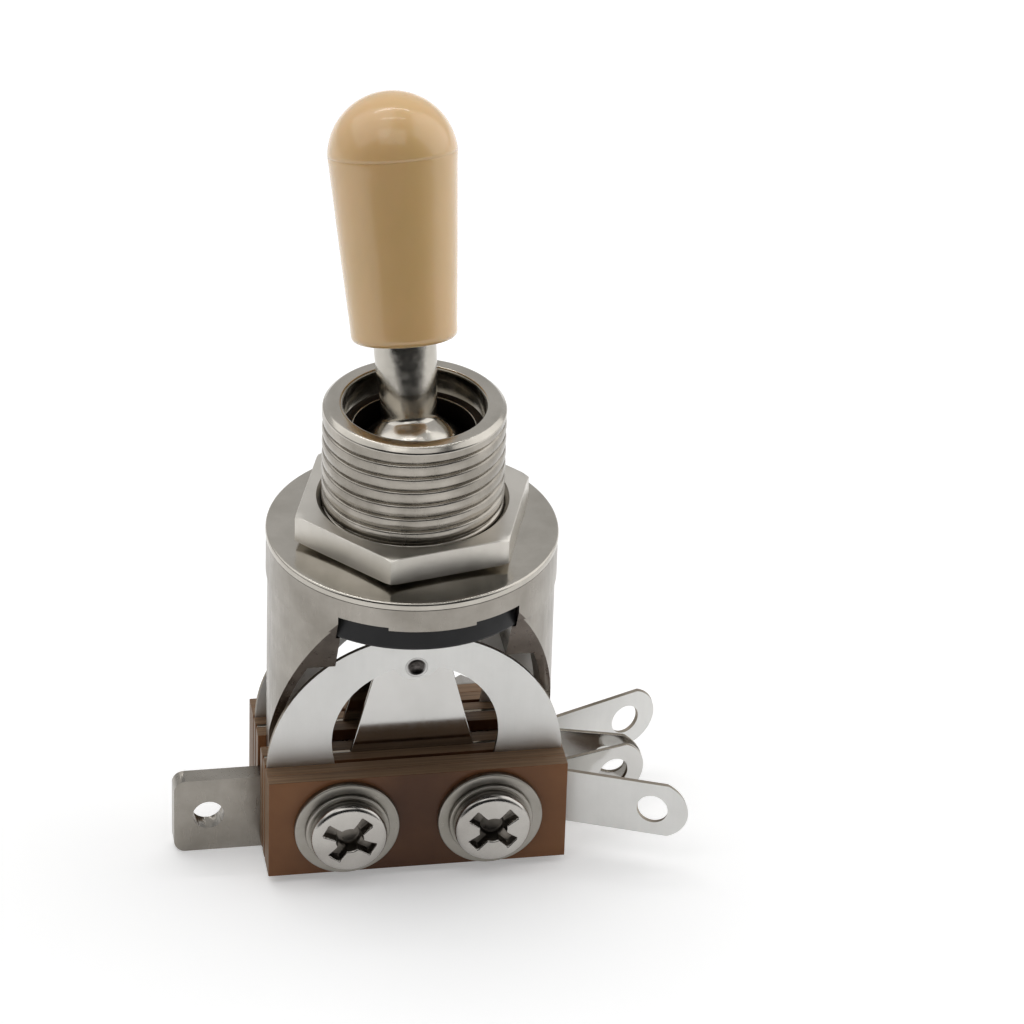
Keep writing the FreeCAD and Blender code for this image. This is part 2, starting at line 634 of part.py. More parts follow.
def leaf_holes(lug_end, lug_face_y, angle):
    """Screw holes through the clamped part, and the wire hole square to the bent lug."""
    level = -size("lug_level")
    reach = size("2*stack_half_width")
    cutters = []
    for sign in (-1, 1):
        cutters.append(Part.makeCylinder(size("sleeve_radius + screw_clearance"), 2 * reach,
                                         Vector(sign * size("screw_offset"), -reach, size(SCREW_LEVEL)),
                                         Vector(0, 1, 0)))
    hole_x = lug_end - size("lug_end_radius")
    hole_y = lug_face_y + (hole_x - size(BEND_X)) * math.tan(math.radians(angle))
    square = Vector(-math.sin(math.radians(angle)), math.cos(math.radians(angle)), 0)
    length = size("cutter_length")
    start = Vector(hole_x, hole_y, level) - square * (length / 2)
    cutters.append(Part.makeCylinder(size("lug_hole_radius"), length, start, square))
    return cutters


def leaf_sheet(middle, side, bow, lug_end, angle):
    """The bent sheet that a leaf is cut from: bowed blade, flat clamped part and turned lug."""
    thick = size("leaf_thickness")
    half = size("stack_half_width - leaf_side_inset")
    top = -size("stack_top")
    floor = size(FLOOR)
    rise = size("arch_radius + overlap")
    flat = Part.makeBox(2 * half, thick, top - floor, Vector(-half, middle - thick / 2, floor))
    if bow:
        turn_angle = math.degrees(rise / bow)
        section = polygon([(0, 0), (2 * half, 0), (2 * half, thick), (0, thick)])
        section.rotate(Vector(0, 0, 0), Vector(1, 0, 0), -90)
        section.translate(Vector(-half, middle - thick / 2, top))
        axis_at = Vector(0, middle + side * bow, top)
        blade = section.revolve(axis_at, Vector(1, 0, 0), -side * turn_angle)
    else:
        blade = Part.makeBox(2 * half, thick, rise, Vector(-half, middle - thick / 2, top))
    bend_x = size(BEND_X)
    end = lug_end + size("overlap")
    end_y = middle + (end - bend_x) * math.tan(math.radians(angle))
    path = [Vector(half - size("overlap"), middle, 0), Vector(bend_x, middle, 0), Vector(end, end_y, 0)]
    lug = strip_face(path, thick).extrude(Vector(0, 0, top - floor))
    lug.translate(Vector(0, 0, floor))
    return flat.multiFuse([blade, lug])


def closed_bow():
    """Radius of the arched leaf's bow, inwards, where it rests on its contact."""
    lean = size("middle_thickness - arch_contact_height - tongue_contact_height - contact_clearance")
    return -size("contact_rise") ** 2 / (2 * lean)


def finger_angle():
    """How far the finger is bent outwards, so that it meets the lever's nose at full throw."""
    throw = math.radians(size("throw_angle"))
    out = size("nose_centre") * math.sin(throw) - size(ARCH_AT)
    up = size("pivot_height + stack_top - finger_rise") - size("nose_centre") * math.cos(throw)
    return math.asin(size("nose_radius + leaf_contact_gap") / math.hypot(out, up)) + math.atan2(out, up)


def push_finger(side, bow):
    """The finger in its place: a short strip that runs up from the leaf and out of the stack."""
    length, width, angle = size("finger_length"), size("finger_width"), finger_angle()
    path = [Vector(0, -size("finger_root"), 0), Vector(0, 0, 0),
            Vector(length * math.sin(angle), length * math.cos(angle), 0)]
    strip = strip_face(path, size("leaf_thickness - 2*finger_inset")).extrude(Vector(0, 0, width))
    strip.translate(Vector(0, 0, -width / 2))
    upright = Placement(Vector(0, 0, 0), Rotation(Vector(1, 1, 1), 120))
    strip.Placement = leaf_placement(side, bow, size("finger_rise")).multiply(upright)
    return strip


def make_arch_leaf(name, side, bow):
    """The wide arched leaf: a half ring with a round tab for its contact and a bent finger."""
    top = -size("stack_top")
    half_ring = disc(0, top - size("arch_drop"), size("arch_radius"))
    below = size("2*arch_radius")
    half_ring = half_ring.cut(polygon([(-below, top - below), (below, top - below),
                                       (below, top), (-below, top)]))
    window = disc(0, top + size("arch_window_rise"), size("arch_window_radius"))
    window = window.cut(polygon([(-below, top - below), (below, top - below),
                                 (below, top), (-below, top)]))
    blade = half_ring.cut(window)
    lobe = disc(0, top + size("lobe_rise"), size("lobe_radius"))
    lug_end = size("arch_lug_reach")
    middle = side * size(ARCH_AT + " + leaf_thickness/2")
    angle = side * size("arch_lug_angle")
    outline = outline_prism([blade, lobe] + clamp_and_lug(lug_end), size("2*stack_half_width"))
    sheet_metal = leaf_sheet(middle, side, bow, lug_end, angle)
    rivet_hole = contact_cylinder(side, bow)
    leaf = sheet_metal.common(outline).cut(leaf_holes(lug_end, middle, angle) + [rivet_hole])
    shaped_piece(name, leaf.fuse(push_finger(side, bow)).removeSplitter())


def make_tongue_leaf(name, side):
    """The straight leaf that tapers to its contact."""
    top = -size("stack_top")
    tip = top + size("tongue_rise")
    base, end = size("tongue_base_half"), size("tongue_top_half")
    corner = size("tongue_corner")
    root = top - size("overlap")
    blade = polygon([(-base, root), (base, root), (end, tip - corner),
                     (end - corner, tip), (corner - end, tip), (-end, tip - corner)])
    lug_end = size("tongue_lug_reach")
    middle = side * size(TONGUE_AT + " + leaf_thickness/2")
    inward = size(TONGUE_AT) - size("lug_meeting_gap")
    angle = -side * math.degrees(math.atan2(inward, lug_end - size(BEND_X)))
    outline = outline_prism([blade] + clamp_and_lug(lug_end), size("2*stack_half_width"))
    sheet_metal = leaf_sheet(middle, side, 0, lug_end, angle)
    leaf = sheet_metal.common(outline).cut(leaf_holes(lug_end, middle, angle) + [contact_cylinder(side, 0)])
    shaped_piece(name, leaf.removeSplitter())


def leaf_placement(side, bow, height):
    """A place on the arched leaf: local +Y points out of the stack, local origin on the leaf."""
    middle = size(ARCH_AT + " + leaf_thickness/2")
    facing = Rotation(Vector(0, 0, 1), 0 if side > 0 else 180)
    if not bow:
        return Placement(Vector(0, side * middle, height - size("stack_top")), facing)
    lean = height / bow
    out = middle + bow * (1 - math.cos(lean))
    up = bow * math.sin(lean) - size("stack_top")
    tilt = Rotation(Vector(1, 0, 0), -math.degrees(lean) * side)
    return Placement(Vector(0, side * out, up), tilt.multiply(facing))


def contact_placement(side, bow):
    return leaf_placement(side, bow, size("contact_rise"))


def contact_cylinder(side, bow):
    """The cutter for the moving contact's hole."""
    length = size("cutter_length")
    cylinder = Part.makeCylinder(size("contact_shank_radius"), length, Vector(0, -length / 2, 0),
                                 Vector(0, 1, 0))
    cylinder.Placement = contact_placement(side, bow).multiply(cylinder.Placement)
    return cylinder


def dome(radius, height, base):
    """A round head over a face at y = base, pointing to -Y."""
    sphere_radius = (radius ** 2 + height ** 2) / (2 * height)
    ball = Part.makeSphere(sphere_radius, Vector(0, base - height + sphere_radius, 0))
    slab = Part.makeCylinder(radius, height, Vector(0, base - height, 0), Vector(0, 1, 0))
    return ball.common(slab)


def make_arch_contact(name, side, bow):
    """The moving contact: a rivet with a round head inwards and a dimple in its outer end."""
    half = size("leaf_thickness") / 2
    seat = -half - size("rivet_clearance")
    shank = Part.makeCylinder(size("contact_shank_radius - rivet_clearance"), half - seat,
                              Vector(0, seat, 0), Vector(0, 1, 0))
    head = dome(size("arch_contact_radius"), size("arch_contact_height"), seat)
    dimple = Part.makeSphere(size("contact_dimple"), Vector(0, half + size("dimple_lift"), 0))
    rivet = shank.fuse(head).cut(dimple).removeSplitter()
    rivet.Placement = contact_placement(side, bow)
    shaped_piece(name, rivet)


def make_tongue_contact(name, side):
    """The fixed contact: a flat rivet head that faces the moving one."""
    level = size("contact_rise - stack_top")
    inner = size(TONGUE_AT)
    outer = size(MIDDLE_AT)
    head = size("tongue_contact_height")
    shank = Part.makeCylinder(size("contact_shank_radius - rivet_clearance"), outer - inner,
                              Vector(0, inner, level), Vector(0, 1, 0))
    face = Part.makeCylinder(size("tongue_contact_radius"), head, Vector(0, outer, level),
                             Vector(0, 1, 0))
    rivet = shank.fuse(face).removeSplitter()
    if side < 0:
        rivet.rotate(Vector(0, 0, level), Vector(0, 0, 1), 180)
    shaped_piece(name, rivet)


def make_half_stack(word, side, bow):
    sleeve_hole = "sleeve_radius + screw_clearance"
    screw_hole = "screw_radius + screw_clearance"
    make_plate(word + "_inner_plate", side, INNER_AT, "inner_thickness", sleeve_hole)
    make_tongue_leaf(word + "_tongue_leaf", side)
    make_tongue_contact(word + "_fixed_contact", side)
    make_plate(word + "_middle_plate", side, MIDDLE_AT, "middle_thickness", sleeve_hole)
    make_arch_leaf(word + "_arch_leaf", side, bow)
    make_arch_contact(word + "_moving_contact", side, bow)
    make_plate(word + "_spacer_plate", side, SPACER_AT, "spacer_thickness", screw_hole)
    make_plate(word + "_cover_plate", side, COVER_AT, "cover_thickness", screw_hole)


# Screws that clamp the stack


def place_screw_piece(body, sign, recess_turn=0):
    """Turn a piece drawn along +Z so that +Z points to the front, on one of the screw axes."""
    to_front = Rotation(Vector(1, 0, 0), 90)
    spin = Rotation(Vector(0, 0, 1), recess_turn)
    place = Vector(sign * size("screw_offset"), 0, size(SCREW_LEVEL))
    body.Placement = Placement(place, to_front.multiply(spin))


def make_screw(name, sign, recess_turn):
    under_head = f"{STACK_FACE} + washer_thickness + lock_washer_thickness"
    end = f"-({STACK_FACE} + washer_thickness + rear_nut_thickness + screw_end)"
    top = f"{under_head} + screw_head_height"
    crown = "(screw_head_radius^2 + screw_head_crown^2)/(2*screw_head_crown)"
    body = turned_piece(name, [
        ("0", end),
        ("screw_radius - screw_point", end),
        ("screw_radius", f"{end} + screw_point"),
        ("screw_radius", under_head),
        ("screw_head_radius", under_head),
        ("screw_head_radius", f"{top} - screw_head_crown", crown),
        ("0", top),
    ])
    half, reach = "recess_width/2", "recess_length/2"
    cross = [
        (half, half), (half, reach), (f"-{half}", reach), (f"-{half}", half),
        (f"-{reach}", half), (f"-{reach}", f"-{half}"), (f"-{half}", f"-{half}"),
        (f"-{half}", f"-{reach}"), (half, f"-{reach}"), (half, f"-{half}"),
        (reach, f"-{half}"), (reach, half),
    ]
    sketch = add_sketch(body, "XY_Plane", [cross], top)
    extrude(body, "Pocket", sketch, "recess_depth")
    place_screw_piece(body, sign, recess_turn)


def make_washer(name, sign, face, radius, thickness):
    """A washer whose lower face is at this height along the screw."""
    body = turned_piece(name, [
        ("screw_radius + screw_clearance", face),
        (radius, face),
        (radius, f"{face} + {thickness}"),
        ("screw_radius + screw_clearance", f"{face} + {thickness}"),
    ])
    place_screw_piece(body, sign)


def make_rear_nut(name, sign):
    body = new_body(name)
    face = f"-({STACK_FACE} + washer_thickness + rear_nut_thickness)"
    corner = "rear_nut_across_flats/2/cos(30)"
    hexagon = [(f"{corner}*cos({60 * k + 30})", f"{corner}*sin({60 * k + 30})") for k in range(6)]
    hole = ("circle", "0", "0", "screw_radius + screw_clearance")
    extrude(body, "Pad", add_sketch(body, "XY_Plane", [hexagon, hole], face), "rear_nut_thickness")
    place_screw_piece(body, sign)


def make_sleeve(name, sign):
    """The insulating tube that keeps a screw off the leaf springs and the frame."""
    body = turned_piece(name, [
        ("screw_radius + screw_clearance", f"-({SPACER_AT})"),
        ("sleeve_radius", f"-({SPACER_AT})"),
        ("sleeve_radius", SPACER_AT),
        ("screw_radius + screw_clearance", SPACER_AT),
    ])
    place_screw_piece(body, sign)


def make_fasteners(word, sign, recess_turn):
    make_screw(word + "_screw", sign, recess_turn)
    make_washer(word + "_front_washer", sign, STACK_FACE, "washer_radius", "washer_thickness")
    make_washer(word + "_lock_washer", sign, f"{STACK_FACE} + washer_thickness",
                "lock_washer_radius", "lock_washer_thickness")
    make_washer(word + "_rear_washer", sign, f"-({STACK_FACE}) - washer_thickness",
                "washer_radius", "washer_thickness")
    make_rear_nut(word + "_rear_nut", sign)
    make_sleeve(word + "_sleeve", sign)


make_bushing()
make_frame()
make_panel_nut()
make_lever()
make_lever_tip()
make_lever_nose()
make_ball_cup()
make_guide()
make_half_stack("front", -1, 0)
make_half_stack("rear", 1, closed_bow())
make_fasteners("left", -1, size("left_recess_turn"))
make_fasteners("right", 1, size("right_recess_turn"))
doc.recompute()

for item in doc.Objects:
    if "Invalid" in item.State or "Error" in item.State:
        raise RuntimeError(f"{item.Label} failed: {item.State}")
for node in nodes:
    if node.Shape.isNull() or not node.Shape.isValid():
        raise RuntimeError(f"{node.Label} has no valid shape")
for node in nodes:
    node.Shape.exportStep(f"parts/{node.Label}.step")
    print(node.Label, len(node.Shape.Solids), round(node.Shape.Volume, 3))
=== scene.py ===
import json
import math

import bmesh
import bpy
from mathutils import Matrix, Vector


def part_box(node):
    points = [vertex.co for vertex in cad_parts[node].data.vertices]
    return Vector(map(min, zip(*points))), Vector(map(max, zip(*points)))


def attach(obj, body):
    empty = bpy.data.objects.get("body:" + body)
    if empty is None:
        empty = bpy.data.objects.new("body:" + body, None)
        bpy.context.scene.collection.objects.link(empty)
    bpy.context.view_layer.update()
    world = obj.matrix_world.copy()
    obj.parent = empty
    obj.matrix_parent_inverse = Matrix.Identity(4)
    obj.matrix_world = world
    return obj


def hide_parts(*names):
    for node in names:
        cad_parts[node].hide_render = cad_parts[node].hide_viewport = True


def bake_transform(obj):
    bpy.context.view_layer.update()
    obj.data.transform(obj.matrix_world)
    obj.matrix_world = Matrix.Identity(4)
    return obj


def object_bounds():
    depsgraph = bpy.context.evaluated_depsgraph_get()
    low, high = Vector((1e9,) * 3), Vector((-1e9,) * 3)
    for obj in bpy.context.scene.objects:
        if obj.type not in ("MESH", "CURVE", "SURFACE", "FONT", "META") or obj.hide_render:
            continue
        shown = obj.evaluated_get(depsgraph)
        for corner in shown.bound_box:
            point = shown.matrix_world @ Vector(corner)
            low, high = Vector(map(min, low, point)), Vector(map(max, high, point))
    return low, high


# The looks of a three-way toggle switch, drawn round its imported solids

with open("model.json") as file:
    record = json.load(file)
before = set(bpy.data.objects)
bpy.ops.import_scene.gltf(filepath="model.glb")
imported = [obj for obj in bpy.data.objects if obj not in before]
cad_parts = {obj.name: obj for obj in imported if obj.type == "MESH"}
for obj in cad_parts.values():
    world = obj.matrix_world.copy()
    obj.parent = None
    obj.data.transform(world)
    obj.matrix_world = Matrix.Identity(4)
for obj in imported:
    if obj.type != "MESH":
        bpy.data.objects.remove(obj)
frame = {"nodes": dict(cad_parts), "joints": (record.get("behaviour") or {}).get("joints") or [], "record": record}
cad_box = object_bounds()
nodes = frame["nodes"]
scene = bpy.context.scene


# Sizes and angles that the frame gives, lengths in mm

MM = 0.001


def in_mm(metres):
    """A length of the frame in mm, to a thousandth."""
    return round(metres / MM, 3)


cover_low, cover_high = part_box("front_cover_plate")
rear_nut_low, rear_nut_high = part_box("right_rear_nut")
panel_nut_low, panel_nut_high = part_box("panel_nut")
plate_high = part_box("switch_frame")[1]
tilt = next(joint for joint in frame["joints"] if joint["name"] == "lever_tilt")

STACK_TOP = in_mm(cover_high.z)
STACK_FACE = in_mm(-cover_low.y)
SCREW_X = in_mm((rear_nut_low.x + rear_nut_high.x) / 2)
SCREW_Z = in_mm((rear_nut_low.z + rear_nut_high.z) / 2)
NUT_LOW, NUT_HIGH = in_mm(panel_nut_low.z), in_mm(panel_nut_high.z)
PLATE_RADIUS = in_mm(plate_high.y)
FLOOR_Z = in_mm(cad_box[0][2])
PIVOT_Z = in_mm(tilt["pos_m"][2])
SKEW = math.atan2(tilt["axis"][1], tilt["axis"][0])
THROW = math.radians(tilt["range_deg"][1] / 2)


# Material helpers

CLOUD_SCALE = 260.0

# The sockets of a mix node that carry its two colours and their mixture
FIRST_COLOUR, SECOND_COLOUR, MIXED_COLOUR = 6, 7, 2


def add(tree, kind, **values):
    """A shader node: values that name an input set it, the others set a property."""
    node = tree.nodes.new(kind)
    for name, value in values.items():
        label = name.replace("_", " ")
        if label in node.inputs:
            node.inputs[label].default_value = value
        else:
            setattr(node, name, value)
    return node


def start_material(name):
    """A new material, its node tree and its shader."""
    material = bpy.data.materials.new(name)
    material.use_nodes = True
    return material, material.node_tree, material.node_tree.nodes["Principled BSDF"]


def object_noise(tree, stretch, scale, detail=4.0, roughness=0.55):
    """Noise in the object's own coordinates, stretched to make grain. Scale counts cells in a metre."""
    place = add(tree, "ShaderNodeTexCoord")
    mapping = add(tree, "ShaderNodeMapping", Scale=stretch)
    noise = add(tree, "ShaderNodeTexNoise", Scale=scale, Detail=detail, Roughness=roughness)
    tree.links.new(place.outputs["Object"], mapping.inputs["Vector"])
    tree.links.new(mapping.outputs["Vector"], noise.inputs["Vector"])
    return noise.outputs["Fac"]


def ramp(tree, factor, low, high, start=0.35, end=0.65):
    """Colours from low to high as the factor goes from start to end."""
    node = add(tree, "ShaderNodeValToRGB")
    node.color_ramp.elements[0].position = start
    node.color_ramp.elements[0].color = (*low, 1.0)
    node.color_ramp.elements[1].position = end
    node.color_ramp.elements[1].color = (*high, 1.0)
    tree.links.new(factor, node.inputs["Fac"])
    return node.outputs["Color"]


def spread(tree, factor, low, high, start=0.3, end=0.7):
    """A number from low to high as the factor goes from start to end."""
    node = add(tree, "ShaderNodeMapRange")
    node.inputs["From Min"].default_value = start
    node.inputs["From Max"].default_value = end
    node.inputs["To Min"].default_value = low
    node.inputs["To Max"].default_value = high
    tree.links.new(factor, node.inputs["Value"])
    return node.outputs["Result"]


def absolute(tree, value):
    """The size of a number, without its sign."""
    node = add(tree, "ShaderNodeMath", operation="ABSOLUTE")
    tree.links.new(value, node.inputs[0])
    return node.outputs[0]


def part_of(tree, vector, axis):
    """One part, X, Y or Z, of a vector."""
    split = add(tree, "ShaderNodeSeparateXYZ")
    tree.links.new(vector, split.inputs["Vector"])
    return split.outputs[axis]


def facing(tree, axis):
    """One part, X, Y or Z, of the surface's own direction."""
    geometry = add(tree, "ShaderNodeNewGeometry")
    return part_of(tree, geometry.outputs["Normal"], axis)


def blend_colours(tree, factor, first, second):
    """The first colour where the factor is 0, and the second where it is 1."""
    mix = add(tree, "ShaderNodeMix", data_type="RGBA")
    tree.links.new(factor, mix.inputs["Factor"])
    tree.links.new(first, mix.inputs[FIRST_COLOUR])
    tree.links.new(second, mix.inputs[SECOND_COLOUR])
    return mix.outputs[MIXED_COLOUR]


def add_bump(tree, shader, factor, strength, depth):
    """Relief of this depth, in mm, that follows the factor."""
    bump = add(tree, "ShaderNodeBump", Strength=strength, Distance=depth * MM)
    tree.links.new(factor, bump.inputs["Height"])
    tree.links.new(bump.outputs["Normal"], shader.inputs["Normal"])


def metal(name, dark, light, rough, scale, relief, grain=(1, 1, 1), under=None, edges=None):
    """Plated metal: two close tones in cloudy patches, uneven gloss and fine grain.

    under is a pair of darker tones painted as shade on faces that look down, edges one for a sheet's cut edges.
    """
    material, tree, shader = start_material(name)
    shader.inputs["Metallic"].default_value = 1.0
    clouds = object_noise(tree, (1, 1, 1), CLOUD_SCALE, detail=5.0)
    colour = ramp(tree, clouds, dark, light)
    if under:
        # Painted shade: faces that look down take the darker under tones.
        down = spread(tree, facing(tree, "Z"), low=1.0, high=0.0, start=-0.42, end=-0.10)
        colour = blend_colours(tree, down, colour, ramp(tree, clouds, *under))
    if edges:
        side = spread(tree, absolute(tree, facing(tree, "Y")), low=1.0, high=0.0, start=0.45, end=0.75)
        colour = blend_colours(tree, side, colour, ramp(tree, clouds, *edges))
    tree.links.new(colour, shader.inputs["Base Color"])
    fine = object_noise(tree, grain, scale, detail=6.0, roughness=0.65)
    tree.links.new(spread(tree, fine, *rough), shader.inputs["Roughness"])
    add_bump(tree, shader, fine, relief, depth=0.02)
    return material


def plastic(name, dark, light, rough, relief, coat=0.0, gloss=0.5, soft=0.0):
    """Moulded plastic with slightly cloudy colour, small ripples and a clear gloss."""
    material, tree, shader = start_material(name)
    clouds = object_noise(tree, (1, 1, 0.4), scale=180.0, detail=3.0)
    tree.links.new(ramp(tree, clouds, dark, light), shader.inputs["Base Color"])
    fine = object_noise(tree, (1, 1, 1), scale=900.0, detail=3.0)
    tree.links.new(spread(tree, fine, *rough), shader.inputs["Roughness"])
    shader.inputs["Specular IOR Level"].default_value = gloss
    shader.inputs["Coat Weight"].default_value = coat
    shader.inputs["Coat Roughness"].default_value = 0.08
    if soft:
        shader.inputs["Subsurface Weight"].default_value = soft
        shader.inputs["Subsurface Radius"].default_value = (1.0, 0.5, 0.2)
        shader.inputs["Subsurface Scale"].default_value = 2 * MM
    add_bump(tree, shader, fine, relief, depth=0.01)
    return material


def contact_metal(name):
    """Dull silver, with painted shade nearly black in the dimple of the moving contact's tail.

    The rear contact mirrors the front one, so the distance to the dimple is taken without signs.
    """
    material, tree, shader = start_material(name)
    shader.inputs["Metallic"].default_value = 1.0
    shader.inputs["Roughness"].default_value = 0.3
    low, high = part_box("front_moving_contact")
    middle = (low + high) / 2
    place = add(tree, "ShaderNodeTexCoord")
    mirrored = add(tree, "ShaderNodeVectorMath", operation="ABSOLUTE")
    tree.links.new(place.outputs["Object"], mirrored.inputs[0])
    away = add(tree, "ShaderNodeVectorMath", operation="DISTANCE")
    away.inputs[1].default_value = (middle.x, -low.y, -middle.z)
    tree.links.new(mirrored.outputs["Vector"], away.inputs[0])
    inside = spread(tree, away.outputs["Value"], low=1.0, high=0.0, start=0.50 * MM, end=0.64 * MM)
    silver = ramp(tree, object_noise(tree, (1, 1, 1), scale=900.0), (0.42, 0.415, 0.40), (0.56, 0.55, 0.54))
    fine = object_noise(tree, (1, 1, 1), scale=2500.0)
    # Painted shade: the dimple's silver is darkened nearly to black.
    dimple_shade = ramp(tree, fine, (0.025, 0.022, 0.02), (0.11, 0.10, 0.095))
    tree.links.new(blend_colours(tree, inside, silver, dimple_shade), shader.inputs["Base Color"])
    return material


def laminate(name):
    """Paper laminate: mottled brown faces with painted light and shade, darker in their middle and lighter towards
    their ends, and dull edges lined by the layers.
    """
    material, tree, shader = start_material(name)
    mottle = object_noise(tree, (1, 1, 1), scale=200.0, detail=4.0, roughness=0.5)
    place = add(tree, "ShaderNodeTexCoord")
    # Painted light and shade: the faces darken towards their middle and lighten towards their ends.
    far = absolute(tree, part_of(tree, place.outputs["Object"], "X"))
    shaded_middle = ramp(tree, mottle, (0.085, 0.034, 0.015), (0.135, 0.058, 0.026), start=0.3, end=0.7)
    ends = ramp(tree, mottle, (0.205, 0.085, 0.034), (0.295, 0.130, 0.052), start=0.3, end=0.7)
    lit_toward_ends = spread(tree, far, low=0.0, high=1.0, start=1.0 * MM, end=9.8 * MM)
    face = blend_colours(tree, lit_toward_ends, shaded_middle, ends)
    layers = object_noise(tree, (0.12, 6.0, 0.12), scale=1000.0, detail=3.0)
    cut_edge = ramp(tree, layers, (0.14, 0.085, 0.048), (0.27, 0.17, 0.10), start=0.3, end=0.7)
    square = absolute(tree, facing(tree, "Y"))
    on_face = spread(tree, square, low=0.0, high=1.0, start=0.3, end=0.8)
    tree.links.new(blend_colours(tree, on_face, cut_edge, face), shader.inputs["Base Color"])
    shader.inputs["Specular IOR Level"].default_value = 0.22
    tree.links.new(spread(tree, square, low=0.5, high=0.3, start=0.3, end=0.8), shader.inputs["Roughness"])
    add_bump(tree, shader, layers, 0.25, depth=0.03)
    return material


# Materials

ROLLED = (1, 1, 0.15)
BRUSHED = (1, 1, 0.08)
LEAF_EDGES = ((0.20, 0.17, 0.13), (0.34, 0.30, 0.25))

bright_nickel = metal("bright nickel", dark=(0.42, 0.395, 0.35), light=(0.52, 0.49, 0.44),
                      rough=(0.13, 0.24), scale=1500.0, relief=0.08)
thread_nickel = metal("thread nickel", dark=(0.24, 0.22, 0.19), light=(0.42, 0.39, 0.345),
                      rough=(0.17, 0.30), scale=1900.0, relief=0.10, grain=(1, 1, 0.25))
lever_nickel = metal("lever nickel", dark=(0.44, 0.415, 0.37), light=(0.56, 0.53, 0.48),
                     rough=(0.12, 0.26), scale=1700.0, relief=0.22)
nut_nickel = metal("nut nickel", dark=(0.58, 0.555, 0.505), light=(0.66, 0.63, 0.58),
                   rough=(0.30, 0.42), scale=2400.0, relief=0.04, grain=ROLLED)
# Its under tones paint shade on the frame's faces that look down.
satin_nickel = metal("satin nickel", dark=(0.26, 0.24, 0.21), light=(0.36, 0.335, 0.30),
                     rough=(0.24, 0.38), scale=2600.0, relief=0.10, grain=ROLLED,
                     under=((0.13, 0.11, 0.093), (0.22, 0.19, 0.165)))
# Painted shade for the inside of the bushing's bore.
bore_painted_shade = metal("bore painted shade", dark=(0.022, 0.017, 0.014), light=(0.048, 0.038, 0.030),
                  rough=(0.45, 0.65), scale=1500.0, relief=0.2, grain=(1, 1, 4))
leaf_satin = metal("leaf satin", dark=(0.71, 0.705, 0.685), light=(0.76, 0.755, 0.735),
                   rough=(0.48, 0.56), scale=3500.0, relief=0.03, grain=BRUSHED, edges=LEAF_EDGES)
leaf_silver = metal("leaf silver", dark=(0.56, 0.55, 0.53), light=(0.61, 0.60, 0.58),
                    rough=(0.10, 0.16), scale=3500.0, relief=0.03, grain=BRUSHED, edges=LEAF_EDGES)
screw_steel = metal("screw steel", dark=(0.36, 0.34, 0.315), light=(0.47, 0.45, 0.42),
                    rough=(0.15, 0.26), scale=2000.0, relief=0.08)
washer_steel = metal("washer steel", dark=(0.25, 0.235, 0.205), light=(0.33, 0.31, 0.28),
                     rough=(0.26, 0.40), scale=2200.0, relief=0.15)
# Painted shade for the inside of the screws' cross recesses.
painted_recess_shade = metal("recess painted shade", dark=(0.06, 0.054, 0.046), light=(0.22, 0.20, 0.175),
                     rough=(0.25, 0.5), scale=2600.0, relief=0.3)
black_nylon = plastic("black nylon", dark=(0.004, 0.004, 0.005), light=(0.009, 0.009, 0.010),
                      rough=(0.35, 0.5), relief=0.15, gloss=0.28)
cream_plastic = plastic("cream plastic", dark=(0.75, 0.495, 0.215), light=(0.82, 0.525, 0.245),
                        rough=(0.20, 0.26), relief=0.04, coat=0.6, soft=0.15)
contact_silver = contact_metal("contact silver")
phenolic = laminate("phenolic laminate")
fibre = plastic("fibre sleeve", dark=(0.34, 0.24, 0.13), light=(0.46, 0.34, 0.2),
                rough=(0.6, 0.75), relief=0.3)

FINISHES = {
    "bright_nickel": bright_nickel, "satin_nickel": satin_nickel, "leaf_metal": leaf_silver,
    "contact_silver": contact_silver, "screw_steel": screw_steel, "phenolic": phenolic,
    "fibre_sleeve": fibre, "black_nylon": black_nylon, "cream_plastic": cream_plastic,
}
for entry in frame["record"]["subparts"]:
    target = nodes[entry["node"]]
    target.data.materials.clear()
    target.data.materials.append(FINISHES[entry["material_slot"]])


# Mesh helpers

SHARP = math.radians(32)


def new_piece(name, build, materials, body):
    """A finished mesh as a piece that rides on a body, or on none if no body is given."""
    mesh = bpy.data.meshes.new(name)
    for face in build.faces:
        face.smooth = True
    build.to_mesh(mesh)
    build.free()
    for material in materials:
        mesh.materials.append(material)
    piece = bpy.data.objects.new(name, mesh)
    scene.collection.objects.link(piece)
    if body:
        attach(piece, body)
    return piece


def keep_sharp(piece, degrees):
    """Edges that turn by more than this stay sharp in the shading."""
    piece.data.set_sharp_from_angle(angle=math.radians(degrees))


def sharp_edges(build):
    """The edges between faces that meet at a clear corner."""
    return [edge for edge in build.edges if edge.calc_face_angle(0.0) > SHARP]


def round_edges(build, edges, width, segments, profile):
    """Rounds these edges by a width in mm."""
    bmesh.ops.bevel(build, geom=edges, offset=width * MM, segments=segments, profile=profile,
                    affect="EDGES", clamp_overlap=True)


def sink(build, depth, chosen):
    """Lowers the corners that chosen(x, y, z) picks. All sizes are in mm."""
    for vert in build.verts:
        if chosen(*(vert.co / MM)):
            vert.co.z -= depth * MM


